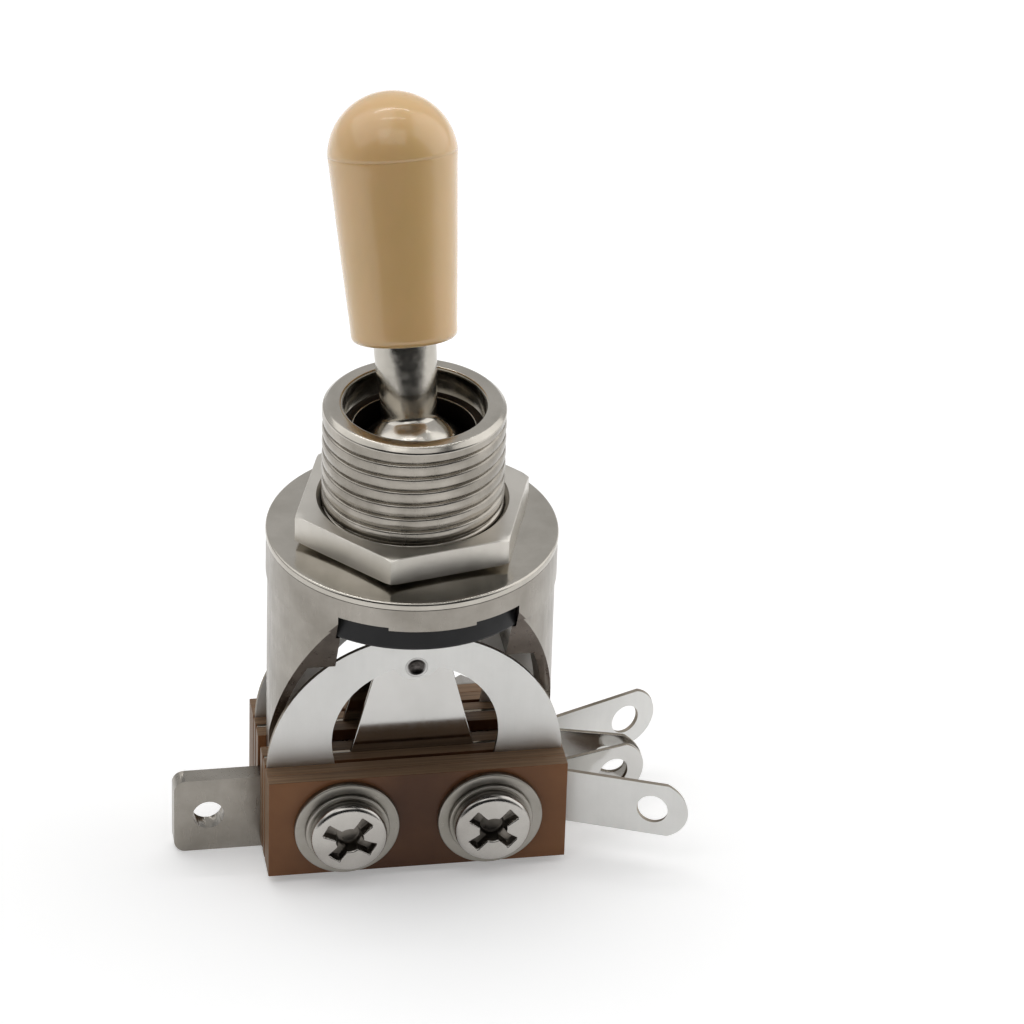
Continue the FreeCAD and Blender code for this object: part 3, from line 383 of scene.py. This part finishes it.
def soften(node, width, material, body="housing", segments=2, levels=(), prepare=None):
    """A CAD solid again with its sharp edges rounded by this width in mm.

    prepare(build) may change the mesh first. levels are heights in mm at which it is cut across, so that it can
    bend. A piece with no body has no modifier, and only its nearly flat joins are shaded smooth.
    """
    build = bmesh.new()
    build.from_mesh(nodes[node].data)
    bmesh.ops.remove_doubles(build, verts=build.verts, dist=1e-7)
    bmesh.ops.dissolve_limit(build, angle_limit=math.radians(0.3), verts=build.verts, edges=build.edges)
    if prepare:
        prepare(build)
    round_edges(build, sharp_edges(build), width, segments, profile=0.6)
    for level in levels:
        geometry = list(build.verts) + list(build.edges) + list(build.faces)
        bmesh.ops.bisect_plane(build, geom=geometry, plane_co=(0, 0, level * MM), plane_no=(0, 0, 1))
    piece = new_piece(node + "_finished", build, [material], body)
    keep_sharp(piece, 40 if body else 14)
    if body:
        weigh = piece.modifiers.new("flat faces", "WEIGHTED_NORMAL")
        weigh.keep_sharp = True
    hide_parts(node)
    return piece


def rounded(corners, closed, steps=4):
    """An outline's corners (radius, height, rounding) in mm, with each rounding drawn as an arc."""
    points = []
    count = len(corners)
    for number, corner in enumerate(corners):
        here = Vector(corner[:2])
        rounding = corner[2] if len(corner) > 2 else 0.0
        if not rounding or (not closed and number in (0, count - 1)):
            points.append(here)
            continue
        before = Vector(corners[number - 1][:2]) - here
        after = Vector(corners[(number + 1) % count][:2]) - here
        rounding = min(rounding, 0.49 * before.length, 0.49 * after.length)
        first = here + before.normalized() * rounding
        last = here + after.normalized() * rounding
        for step in range(steps + 1):
            t = step / steps
            points.append(first * (1 - t) ** 2 + here * (2 * t * (1 - t)) + last * t ** 2)
    return points


def arc_points(centre_z, radius, start, end, steps):
    """Points (radius, height) round a centre on the axis, from one polar angle to another."""
    angles = [start + (end - start) * k / steps for k in range(steps + 1)]
    return [Vector((radius * math.sin(angle), centre_z + radius * math.cos(angle))) for angle in angles]


def lathe(name, outline, materials, body, closed=True, segments=128, place=None, shape=None, pick=None):
    """A piece turned round +Z from an outline in mm.

    shape(angle, radius, height) may move each point, and pick(first, last) gives the number of each
    row's material.
    """
    build = bmesh.new()
    rings = []
    for number in range(segments):
        angle = 2 * math.pi * number / segments
        ring = []
        for point in outline:
            radius, height = shape(angle, point.x, point.y) if shape else point
            corner = (radius * MM * math.cos(angle), radius * MM * math.sin(angle), height * MM)
            ring.append(build.verts.new(corner))
        rings.append(ring)
    rows = len(outline) if closed else len(outline) - 1
    for number in range(segments):
        ring, following = rings[number], rings[(number + 1) % segments]
        for k in range(rows):
            after = (k + 1) % len(outline)
            face = build.faces.new((ring[k], following[k], following[after], ring[after]))
            if pick:
                face.material_index = pick(outline[k], outline[after])
    bmesh.ops.remove_doubles(build, verts=build.verts, dist=1e-8)
    bmesh.ops.recalc_face_normals(build, faces=build.faces)
    if place is not None:
        bmesh.ops.transform(build, matrix=place, verts=build.verts)
    return new_piece(name, build, materials, body)


def smooth_step(x):
    """A smooth step from 0 to 1 as x goes from 0 to 1."""
    x = min(1.0, max(0.0, x))
    return x * x * (3 - 2 * x)


# Bushing

THREAD_RADIUS = 5.95
THREAD_PITCH = 1.0
GROOVE_DEPTH = 0.24
GROOVE_HALF = 0.17
GROOVE_PHASE = 0.072
RIDGE_CROWN = 0.03
FIRST_GROOVE, LAST_GROOVE = 0.6, 8.75
FADE_FOOT, FADE_TOP = 0.3, 0.5
THREAD_FOOT, THREAD_ROWS, ROW = 0.02, 171, 0.05

FLANGE_RADIUS, FLANGE_BAND, FLANGE_FACE, FLANGE_THICKNESS = 9.55, 9.47, 9.0, 0.55
COLLAR_RADIUS, COLLAR_LOW = 5.3, -1.9
CUP_BORE, CUP_TOP = 4.45, 5.28
THROAT_RADIUS, THROAT_TOP = 3.95, 7.5
MOUTH_RADIUS = 4.6
LIP_RADIUS, LIP_FOOT, LIP_TOP = 5.60, 8.98, 9.3
BRIGHT, BORE, THREAD = 0, 1, 2


def cut_thread(angle, radius, height):
    """The bushing's outside: wide rounded ridges with a narrow groove that winds up between them."""
    if abs(radius - THREAD_RADIUS) > 0.05 or not FIRST_GROOVE < height < LAST_GROOVE:
        return radius, height
    turn = (height / THREAD_PITCH - angle / (2 * math.pi) + GROOVE_PHASE) % 1.0
    groove = smooth_step(1.0 - abs(turn - 0.5) / GROOVE_HALF)
    ridge = math.cos(2 * math.pi * turn)
    fade = min(1.0, (LAST_GROOVE - height) / FADE_TOP, (height - FIRST_GROOVE) / FADE_FOOT)
    return radius - fade * (GROOVE_DEPTH * groove + RIDGE_CROWN * (1 - ridge)), height


def bushing_finish(first, last):
    """A row's metal: dull on the thread, dark with painted shade in the bore below its mouth, and bright
    elsewhere.

    The corner at the top of the throat is bright too.
    """
    near, far = min(first.x, last.x), max(first.x, last.x)
    low = min(first.y, last.y)
    if far < MOUTH_RADIUS + 0.01:
        on_corner = far < THROAT_RADIUS + 0.09 and low > THROAT_TOP - 0.09
        return BRIGHT if on_corner else BORE
    on_thread = THREAD_RADIUS - 0.15 < near and far < THREAD_RADIUS + 0.05 and 0.1 < low < 8.7
    return THREAD if on_thread else BRIGHT


def make_bushing():
    """The flange and its collar from below, the thread upwards, then the lip and the bore downwards."""
    below = [(CUP_BORE, COLLAR_LOW, 0.1), (COLLAR_RADIUS, COLLAR_LOW, 0.15),
             (COLLAR_RADIUS, -FLANGE_THICKNESS), (FLANGE_BAND, -FLANGE_THICKNESS),
             (FLANGE_RADIUS, 0.08 - FLANGE_THICKNESS, 0.04), (FLANGE_RADIUS, 0.0, 0.24)]
    side = [(THREAD_RADIUS, THREAD_FOOT + k * ROW) for k in range(THREAD_ROWS)]
    above = [(THREAD_RADIUS, LIP_FOOT, 0.10), (LIP_RADIUS, LIP_TOP, 0.16),
             (MOUTH_RADIUS + 0.02, LIP_TOP, 0.30), (MOUTH_RADIUS, THROAT_TOP),
             (THROAT_RADIUS, THROAT_TOP, 0.08), (THROAT_RADIUS, CUP_TOP), (CUP_BORE, CUP_TOP)]
    outline = rounded(below, closed=False)[:-1]
    outline += rounded([below[-2], below[-1], (THREAD_RADIUS, 0.0)], closed=False, steps=6)[1:-1]
    outline += [Vector((FLANGE_FACE, 0.0)), Vector((THREAD_RADIUS + 0.02, 0.0))]
    outline += [Vector(point) for point in side]
    outline += rounded([side[-1]] + above, closed=False, steps=8)[1:]
    piece = lathe("bushing", outline, [bright_nickel, bore_painted_shade, thread_nickel], "housing",
                  segments=180, shape=cut_thread, pick=bushing_finish)
    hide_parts("threaded_bushing")


# Panel nut

NUT_HALF = 7.0
NUT_FACE = 6.3
NUT_BORE = 6.02
NUT_TURN = math.radians(11.5)
CHAMFER_FROM = 7.75
SIDE_ROWS = 11


def hexagon_reach(angle):
    """How far a hexagon's side is from its middle, where half its width across flats is 1."""
    return 1.0 / math.cos((angle % (math.pi / 3)) - math.pi / 6)


def nut_shape(angle, radius, height):
    """The turned outline pulled out to a hexagon, with its corners chamfered by a cone."""
    if radius <= NUT_FACE:
        return radius, height
    reach = NUT_HALF * hexagon_reach(angle)
    radius = NUT_FACE + (radius - NUT_FACE) * (reach - NUT_FACE) / (NUT_HALF - NUT_FACE)
    over = max(0.0, radius - CHAMFER_FROM)
    if height > (NUT_LOW + NUT_HIGH) / 2:
        height = min(height, NUT_HIGH - 0.5 * over)
    else:
        height = max(height, NUT_LOW + 0.3 * over)
    return radius, height


def make_nut():
    """The nut's underside, its flats in rows, its top in rings and the countersink of its thread."""
    side_step = (NUT_HIGH - NUT_LOW - 0.2) / (SIDE_ROWS - 1)
    corners = [(NUT_BORE, NUT_LOW), (NUT_FACE, NUT_LOW), (NUT_HALF, NUT_LOW, 0.08)]
    corners += [(NUT_HALF, NUT_LOW + 0.1 + side_step * k) for k in range(SIDE_ROWS)]
    corners += [(NUT_HALF, NUT_HIGH, 0.10)]
    corners += [(NUT_FACE + 0.15 * k, NUT_HIGH) for k in (4, 3, 2, 1, 0)]
    corners += [(NUT_FACE - 0.03, NUT_HIGH, 0.03), (NUT_BORE, NUT_HIGH - 0.28)]
    outline = rounded(corners, closed=True)
    piece = lathe("nut", outline, [nut_nickel], "housing", segments=240,
                  place=Matrix.Rotation(NUT_TURN, 4, "Z"), shape=nut_shape)
    keep_sharp(piece, 38)
    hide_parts("panel_nut")


# Lever and tip, drawn upright with heights from the pivot

BALL_RADIUS = 4.15
PIN_RADIUS, PIN_LOW, PIN_TOP = 1.1, -8.3, -5.0
NECK_FOOT = (2.25, 3.49)
NECK = [(1.78, 3.80, 0.3), (1.82, 4.6, 0.4), (1.97, 6.6, 0.9), (2.04, 8.2, 0.5)]
SHOULDER_RADIUS, SHOULDER = 2.04, 9.3
CORE_RADIUS, CORE_TOP = 1.6, 16.4

TIP_FOOT, TIP_FOOT_RADIUS = 8.9, 3.44
TIP_HOLE_RADIUS, TIP_HOLE_TOP = 2.15, 9.35
TIP_SIDE = [(3.47, 10.0), (3.80, 14.9), (4.13, 20.2, 0.6), (4.185, 20.9)]
SEAM = 21.08
DOME_RADIUS, DOME_HEIGHT = 4.20, 3.98


def lever_place():
    """The lever thrown to the rear, about the pivot, with its throw turned from the stack's square."""
    pivot = Matrix.Translation((0, 0, PIVOT_Z * MM))
    return pivot @ Matrix.Rotation(SKEW, 4, "Z") @ Matrix.Rotation(-THROW, 4, "X")


def make_lever():
    """The pin below, the ball, and the shaft with its waist up to the core inside the tip."""
    low = math.pi - math.asin(PIN_RADIUS / BALL_RADIUS)
    high = math.asin(NECK_FOOT[0] / BALL_RADIUS)
    shaft = [NECK_FOOT] + NECK + [(SHOULDER_RADIUS, SHOULDER), (CORE_RADIUS, SHOULDER),
                                  (CORE_RADIUS, CORE_TOP, 0.2), (0.0, CORE_TOP)]
    outline = rounded([(0.0, PIN_LOW), (PIN_RADIUS, PIN_LOW, 0.2), (PIN_RADIUS, PIN_TOP)], closed=False)
    outline += arc_points(0.0, BALL_RADIUS, low, high, 30)
    outline += rounded(shaft, closed=False, steps=6)[1:]
    piece = lathe("lever_shaft", outline, [lever_nickel], "lever", closed=False, segments=96,
                  place=lever_place())
    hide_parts("lever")


def make_tip():
    """The tapered tip, with a fine seam line under its dome."""
    sphere = (DOME_RADIUS ** 2 + DOME_HEIGHT ** 2) / (2 * DOME_HEIGHT)
    centre = SEAM + DOME_HEIGHT - sphere
    foot = [(TIP_HOLE_RADIUS, TIP_HOLE_TOP), (TIP_HOLE_RADIUS, TIP_FOOT, 0.12),
            (TIP_FOOT_RADIUS, TIP_FOOT, 0.8)]
    seam = [(4.185, SEAM - 0.05), (4.168, SEAM - 0.02)]
    outline = rounded(foot + TIP_SIDE + seam, closed=False, steps=8)
    outline += reversed(arc_points(centre, sphere, 0.0, math.asin(DOME_RADIUS / sphere), 28))
    piece = lathe("tip_cap", outline, [cream_plastic], "lever", closed=False, segments=144,
                  place=lever_place())
    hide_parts("lever_tip")


# Screws, washers and nuts of the stack

FLAT_RADIUS, FLAT_THICKNESS, FLAT_DISH = 3.5, 0.45, 0.05
LOCK_RADIUS, LOCK_THICKNESS, LOCK_DISH = 2.80, 0.30, 0.04
WASHER_HOLE, DISH_RADIUS = 1.3, 2.45
HEAD_BASE = STACK_FACE + FLAT_THICKNESS + LOCK_THICKNESS
HEAD_TOP, HEAD_RADIUS = 6.92, 2.54
HEAD_FACE, HEAD_CROWN, FACE_ROWS = 2.15, 0.10, 43
CORNER_REACH, CORNER_FALL = 0.34, 0.42
SHANK_RADIUS, SHANK_END = 1.25, -8.15
RECESS_REACH, RECESS_DEPTH, ARM_HALF = 1.78, 0.75, 0.37
PIT_RADIUS, PIT_EXTRA = 0.95, 0.35
RECESS_FIELD = 2.0

# Each arm's direction in degrees and its reach in mm
RECESS_ARMS = {"left": ((49, 1.78), (152, 1.80), (233, 1.74), (331, 1.80)),
               "right": ((40, 1.80), (140, 1.74), (222, 1.78), (319, 1.74))}


def screw_place(side):
    """From a piece drawn along +Z to the screw's axis, with +Z to the front."""
    axis = Matrix.Translation((side * SCREW_X * MM, 0, SCREW_Z * MM))
    return axis @ Matrix.Rotation(math.radians(90), 4, "X")


def recess_depth(arms, angle, radius):
    """Depth of a cross recess at a point of the screw's face: a round pit, and arms that flare outwards."""
    depth = (RECESS_DEPTH + PIT_EXTRA) * smooth_step((PIT_RADIUS - radius) / 0.20)
    for arm, reach in arms:
        along = radius * math.cos(angle - math.radians(arm))
        across = abs(radius * math.sin(angle - math.radians(arm)))
        if along < 0:
            continue
        half = ARM_HALF + 0.10 * (along / RECESS_REACH) ** 3
        inside = smooth_step((half + 0.05 - across) / 0.14) * smooth_step((reach + 0.05 - along) / 0.18)
        depth = max(depth, inside * (RECESS_DEPTH - 0.15 * along / RECESS_REACH))
    return depth


def paint_recess_shade(piece, side):
    """Paints shade on the faces inside the cross recess with a darker tone of the steel."""
    piece.data.materials.append(painted_recess_shade)
    axis = Vector((side * SCREW_X * MM, 0, SCREW_Z * MM))
    for polygon in piece.data.polygons:
        middle = (polygon.center - axis) / MM
        if math.hypot(middle.x, middle.z) < RECESS_FIELD and 3.0 < -middle.y < HEAD_TOP - 0.22:
            polygon.material_index = 1


def make_screw(word, side):
    """A pan head with a slightly crowned face in fine rows, so that the recess can be pressed into it."""
    arms = RECESS_ARMS[word]
    face_radii = [HEAD_FACE * k / FACE_ROWS for k in range(1, FACE_ROWS + 1)]
    face = [(radius, HEAD_TOP - HEAD_CROWN * (radius / HEAD_FACE) ** 2) for radius in face_radii]
    corner_top = HEAD_TOP - HEAD_CROWN - 0.02
    turns = [math.radians(12 * k) for k in range(1, 8)]
    corner = [(HEAD_RADIUS - CORNER_REACH * (1 - math.sin(turn)),
               corner_top - CORNER_FALL * (1 - math.cos(turn))) for turn in turns]
    below = [(HEAD_RADIUS, 6.2), (HEAD_RADIUS, HEAD_BASE + 0.10, 0.06), (HEAD_RADIUS - 0.09, HEAD_BASE),
             (SHANK_RADIUS + 0.05, HEAD_BASE), (SHANK_RADIUS, HEAD_BASE - 0.15)]
    end = [(SHANK_RADIUS, -5.0), (SHANK_RADIUS, SHANK_END + 0.2), (SHANK_RADIUS - 0.2, SHANK_END),
           (0.0, SHANK_END)]
    outline = [Vector(point) for point in [(0.0, HEAD_TOP)] + face + corner]
    outline += rounded(below, closed=False)
    outline += [Vector(point) for point in end]

    def press_recess(angle, radius, height):
        """The top of the head, sunk by the depth of the recess."""
        if height > HEAD_TOP - 0.2 and radius < RECESS_FIELD:
            height -= recess_depth(arms, angle, radius)
        return radius, height

    piece = lathe(word + "_pan_screw", outline, [screw_steel], "housing", closed=False,
                  segments=216, place=screw_place(side), shape=press_recess)
    paint_recess_shade(piece, side)
    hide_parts(word + "_screw")


def make_ring(name, node, side, face, radius, thickness, dish=0.0):
    """A washer with rounded edges, dished a little towards its hole."""
    top = face + thickness
    corners = [(WASHER_HOLE, face), (radius, face, 0.06), (radius, top, 0.13), (radius - 0.35, top - 0.01),
               (DISH_RADIUS, top - dish), (WASHER_HOLE, top - dish)]
    outline = rounded(corners, closed=True, steps=5)
    piece = lathe(name, outline, [washer_steel], "housing", place=screw_place(side))
    keep_sharp(piece, 50)
    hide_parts(node)


def make_fasteners(word, side):
    """One screw with all that it carries, from its head to its nut."""
    make_screw(word, side)
    make_ring(word + "_flat_washer", word + "_front_washer", side, STACK_FACE,
              FLAT_RADIUS, FLAT_THICKNESS, FLAT_DISH)
    make_ring(word + "_inner_washer", word + "_lock_washer", side, STACK_FACE + FLAT_THICKNESS,
              LOCK_RADIUS, LOCK_THICKNESS, LOCK_DISH)
    make_ring(word + "_back_washer", word + "_rear_washer", side, -STACK_FACE - FLAT_THICKNESS,
              FLAT_RADIUS, FLAT_THICKNESS)
    soften(word + "_rear_nut", 0.12, screw_steel)


# Frame, with the tabs on its top plate

PLATE_LOW = -1.8
LEG_OUTSIDE = PLATE_RADIUS - 0.21
WEB_TOP, WEB_HALF, WEB_SINK = STACK_TOP + 1.0, 0.7, 1.8
TAB_HALF, TAB_BACK, TAB_FACE, TAB_DROP = 2.85, 8.85, PLATE_RADIUS - 0.01, 0.4
TAB_CHAMFER, TAB_ROWS = 0.07, 24


def prepare_frame(build):
    """Ends the web a little below the plates beside it, and rolls the outer edges of the slanting legs."""
    sink(build, WEB_SINK, lambda x, y, z: abs(z - WEB_TOP) < 0.1 and abs(y) < WEB_HALF)
    legs = [edge for edge in sharp_edges(build)
            if any(-0.6 < face.normal.z < -0.3 for face in edge.link_faces)
            and all(math.hypot(vert.co.x, vert.co.y) > LEG_OUTSIDE * MM for vert in edge.verts)]
    round_edges(build, legs, width=0.45, segments=5, profile=0.5)


def make_tab(name, side):
    """The short tab in the middle of the top plate's front or rear edge."""
    build = bmesh.new()
    half = math.asin(TAB_HALF / PLATE_RADIUS)
    low = PLATE_LOW - TAB_DROP
    section = ((TAB_BACK, PLATE_LOW), (TAB_BACK, low), (TAB_FACE - TAB_CHAMFER, low),
               (TAB_FACE, low + TAB_CHAMFER), (TAB_FACE, PLATE_LOW))
    columns = []
    for k in range(TAB_ROWS + 1):
        angle = side * math.pi / 2 - half + 2 * half * k / TAB_ROWS
        out = Vector((math.cos(angle), math.sin(angle), 0.0))
        columns.append([build.verts.new((out * radius + Vector((0, 0, height))) * MM)
                        for radius, height in section])
    for first, second in zip(columns, columns[1:]):
        for k in range(len(section)):
            after = (k + 1) % len(section)
            build.faces.new((first[k], second[k], second[after], first[after]))
    build.faces.new(columns[0])
    build.faces.new(columns[-1][::-1])
    bmesh.ops.recalc_face_normals(build, faces=build.faces)
    piece = new_piece(name, build, [satin_nickel], "housing")
    keep_sharp(piece, 30)


def make_frame():
    """The folded frame, with the tabs that its solid lacks."""
    soften("switch_frame", 0.08, satin_nickel, segments=3, prepare=prepare_frame)
    make_tab("front_tab", -1)
    make_tab("rear_tab", 1)


# Plates and leaves

WINDOW_HALF, WINDOW_SINK = 5.4, 0.3
LEAF_CUTS, CUT_STEP = 18, 0.45


def prepare_leaf(build):
    """Lowers the foot of the arched leaf's window a little below the plates beside it."""
    sink(build, WINDOW_SINK, lambda x, y, z: abs(z - STACK_TOP) < 0.1 and abs(x) < WINDOW_HALF)


def make_half(half):
    """The plates and leaves on one side of the frame's web. The arched leaf is cut across in levels and rides on
    no body.
    """
    for layer in ("inner", "middle", "spacer", "cover"):
        soften(f"{half}_{layer}_plate", 0.05, phenolic)
    soften(half + "_tongue_leaf", 0.05, leaf_silver)
    levels = [STACK_TOP + 0.1 + CUT_STEP * k for k in range(LEAF_CUTS)]
    leaf = soften(half + "_arch_leaf", 0.05, leaf_satin, body=None, levels=levels, prepare=prepare_leaf)
    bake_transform(leaf)


# Camera, floor and light

PSI, ELEVATION, ROLL = math.radians(10.418), math.radians(32.011), math.radians(1.879)
DISTANCE, FOCAL_PX, FRAME_PX = 377.95, 5799.56, 1024
TARGET = Vector((6.573, 0.0, 0.482))
SHEET_REACH = 0.50
FLOOR_GLOW = 0.3
ROOM, DIM = 0.62, 0.02
DIM_SIDE = (-0.17, -0.95, 0.25)


def make_camera():
    """The photograph's camera: its turn and height round the target, its roll, distance and focal length."""
    back = Vector((-math.sin(PSI) * math.cos(ELEVATION), -math.cos(PSI) * math.cos(ELEVATION),
                   math.sin(ELEVATION)))
    right = Vector((math.cos(PSI), -math.sin(PSI), 0.0))
    up = back.cross(right)
    rolled_right = right * math.cos(ROLL) + up * math.sin(ROLL)
    rolled_up = up * math.cos(ROLL) - right * math.sin(ROLL)
    data = bpy.data.cameras.new("camera")
    data.sensor_width = 36.0
    data.lens = FOCAL_PX / FRAME_PX * data.sensor_width
    data.clip_start = 0.02
    data.clip_end = 20.0
    camera = bpy.data.objects.new("camera", data)
    scene.collection.objects.link(camera)
    turn = Matrix((rolled_right, rolled_up, back)).transposed().to_4x4()
    camera.matrix_world = Matrix.Translation((TARGET + back * DISTANCE) * MM) @ turn
    scene.camera = camera


def floor_paper():
    """White paper with a little glow, which only sight and reflections meet, that keeps it white."""
    material, tree, shader = start_material("floor paper")
    shader.inputs["Base Color"].default_value = (0.93, 0.93, 0.93, 1.0)
    shader.inputs["Roughness"].default_value = 0.9
    shader.inputs["Specular IOR Level"].default_value = 0.1
    shader.inputs["Emission Color"].default_value = (1.0, 1.0, 1.0, 1.0)
    path = add(tree, "ShaderNodeLightPath")
    seen = path.outputs["Is Camera Ray"]
    for ray in ("Is Glossy Ray", "Is Transmission Ray"):
        both = add(tree, "ShaderNodeMath", operation="MAXIMUM")
        tree.links.new(seen, both.inputs[0])
        tree.links.new(path.outputs[ray], both.inputs[1])
        seen = both.outputs[0]
    glow = add(tree, "ShaderNodeMath", operation="MULTIPLY")
    glow.inputs[1].default_value = FLOOR_GLOW
    tree.links.new(seen, glow.inputs[0])
    tree.links.new(glow.outputs[0], shader.inputs["Emission Strength"])
    return material


def make_floor():
    """A round sheet of paper, SHEET_REACH metres from its middle to its edge."""
    build = bmesh.new()
    bmesh.ops.create_circle(build, cap_ends=True, segments=128, radius=SHEET_REACH)
    bmesh.ops.translate(build, verts=build.verts, vec=(0, 0, FLOOR_Z * MM))
    mesh = bpy.data.meshes.new("floor")
    build.to_mesh(mesh)
    build.free()
    mesh.materials.append(floor_paper())
    floor = bpy.data.objects.new("floor", mesh)
    scene.collection.objects.link(floor)


def make_light(name, place, power, size, aim_height=0.0):
    """A rectangular lamp, in metres and watts, that points at a height above the object's origin."""
    data = bpy.data.lights.new(name, "AREA")
    data.shape = "RECTANGLE"
    data.size, data.size_y = size
    data.energy = power
    light = bpy.data.objects.new(name, data)
    scene.collection.objects.link(light)
    light.location = place
    aim = Vector((0, 0, aim_height)) - Vector(place)
    light.rotation_euler = aim.to_track_quat("-Z", "Y").to_euler()


def make_world():
    """A pale room that is dim to one side, DIM_SIDE, so that polished faces there mirror a darker tone."""
    world = bpy.data.worlds.new("studio")
    world.use_nodes = True
    tree = world.node_tree
    place = add(tree, "ShaderNodeTexCoord")
    toward = add(tree, "ShaderNodeVectorMath", operation="DOT_PRODUCT")
    toward.inputs[1].default_value = DIM_SIDE
    tree.links.new(place.outputs["Generated"], toward.inputs[0])
    nearness = spread(tree, toward.outputs["Value"], low=0.0, high=1.0, start=-1.0, end=1.0)
    tone = ramp(tree, nearness, (ROOM, ROOM, ROOM), (DIM, DIM, DIM), start=0.45, end=0.86)
    tree.links.new(tone, tree.nodes["Background"].inputs["Color"])
    scene.world = world


def make_lights():
    """Two wide lamps at the sides, a smaller one in front, and two thin strips for lines on the gloss."""
    make_light("key", place=(-0.30, 0.10, 0.50), power=1.2, size=(0.70, 0.70))
    make_light("side", place=(0.50, 0.05, 0.30), power=1.2, size=(0.60, 0.70))
    make_light("front", place=(-0.05, -0.26, 0.56), power=0.42, size=(0.50, 0.30))
    make_light("strip", place=(0.02, 0.28, 0.49), power=0.20, size=(0.44, 0.014), aim_height=0.02)
    make_light("overhead", place=(0.01, 0.09, 0.57), power=0.09, size=(0.34, 0.012), aim_height=0.02)


# The whole switch and its studio

make_bushing()
make_nut()
make_lever()
make_tip()
make_fasteners("left", -1)
make_fasteners("right", 1)
make_frame()
soften("lever_guide", 0.10, black_nylon)
make_half("front")
make_half("rear")

make_world()
make_floor()
make_lights()
make_camera()
scene.view_settings.view_transform = "Standard"
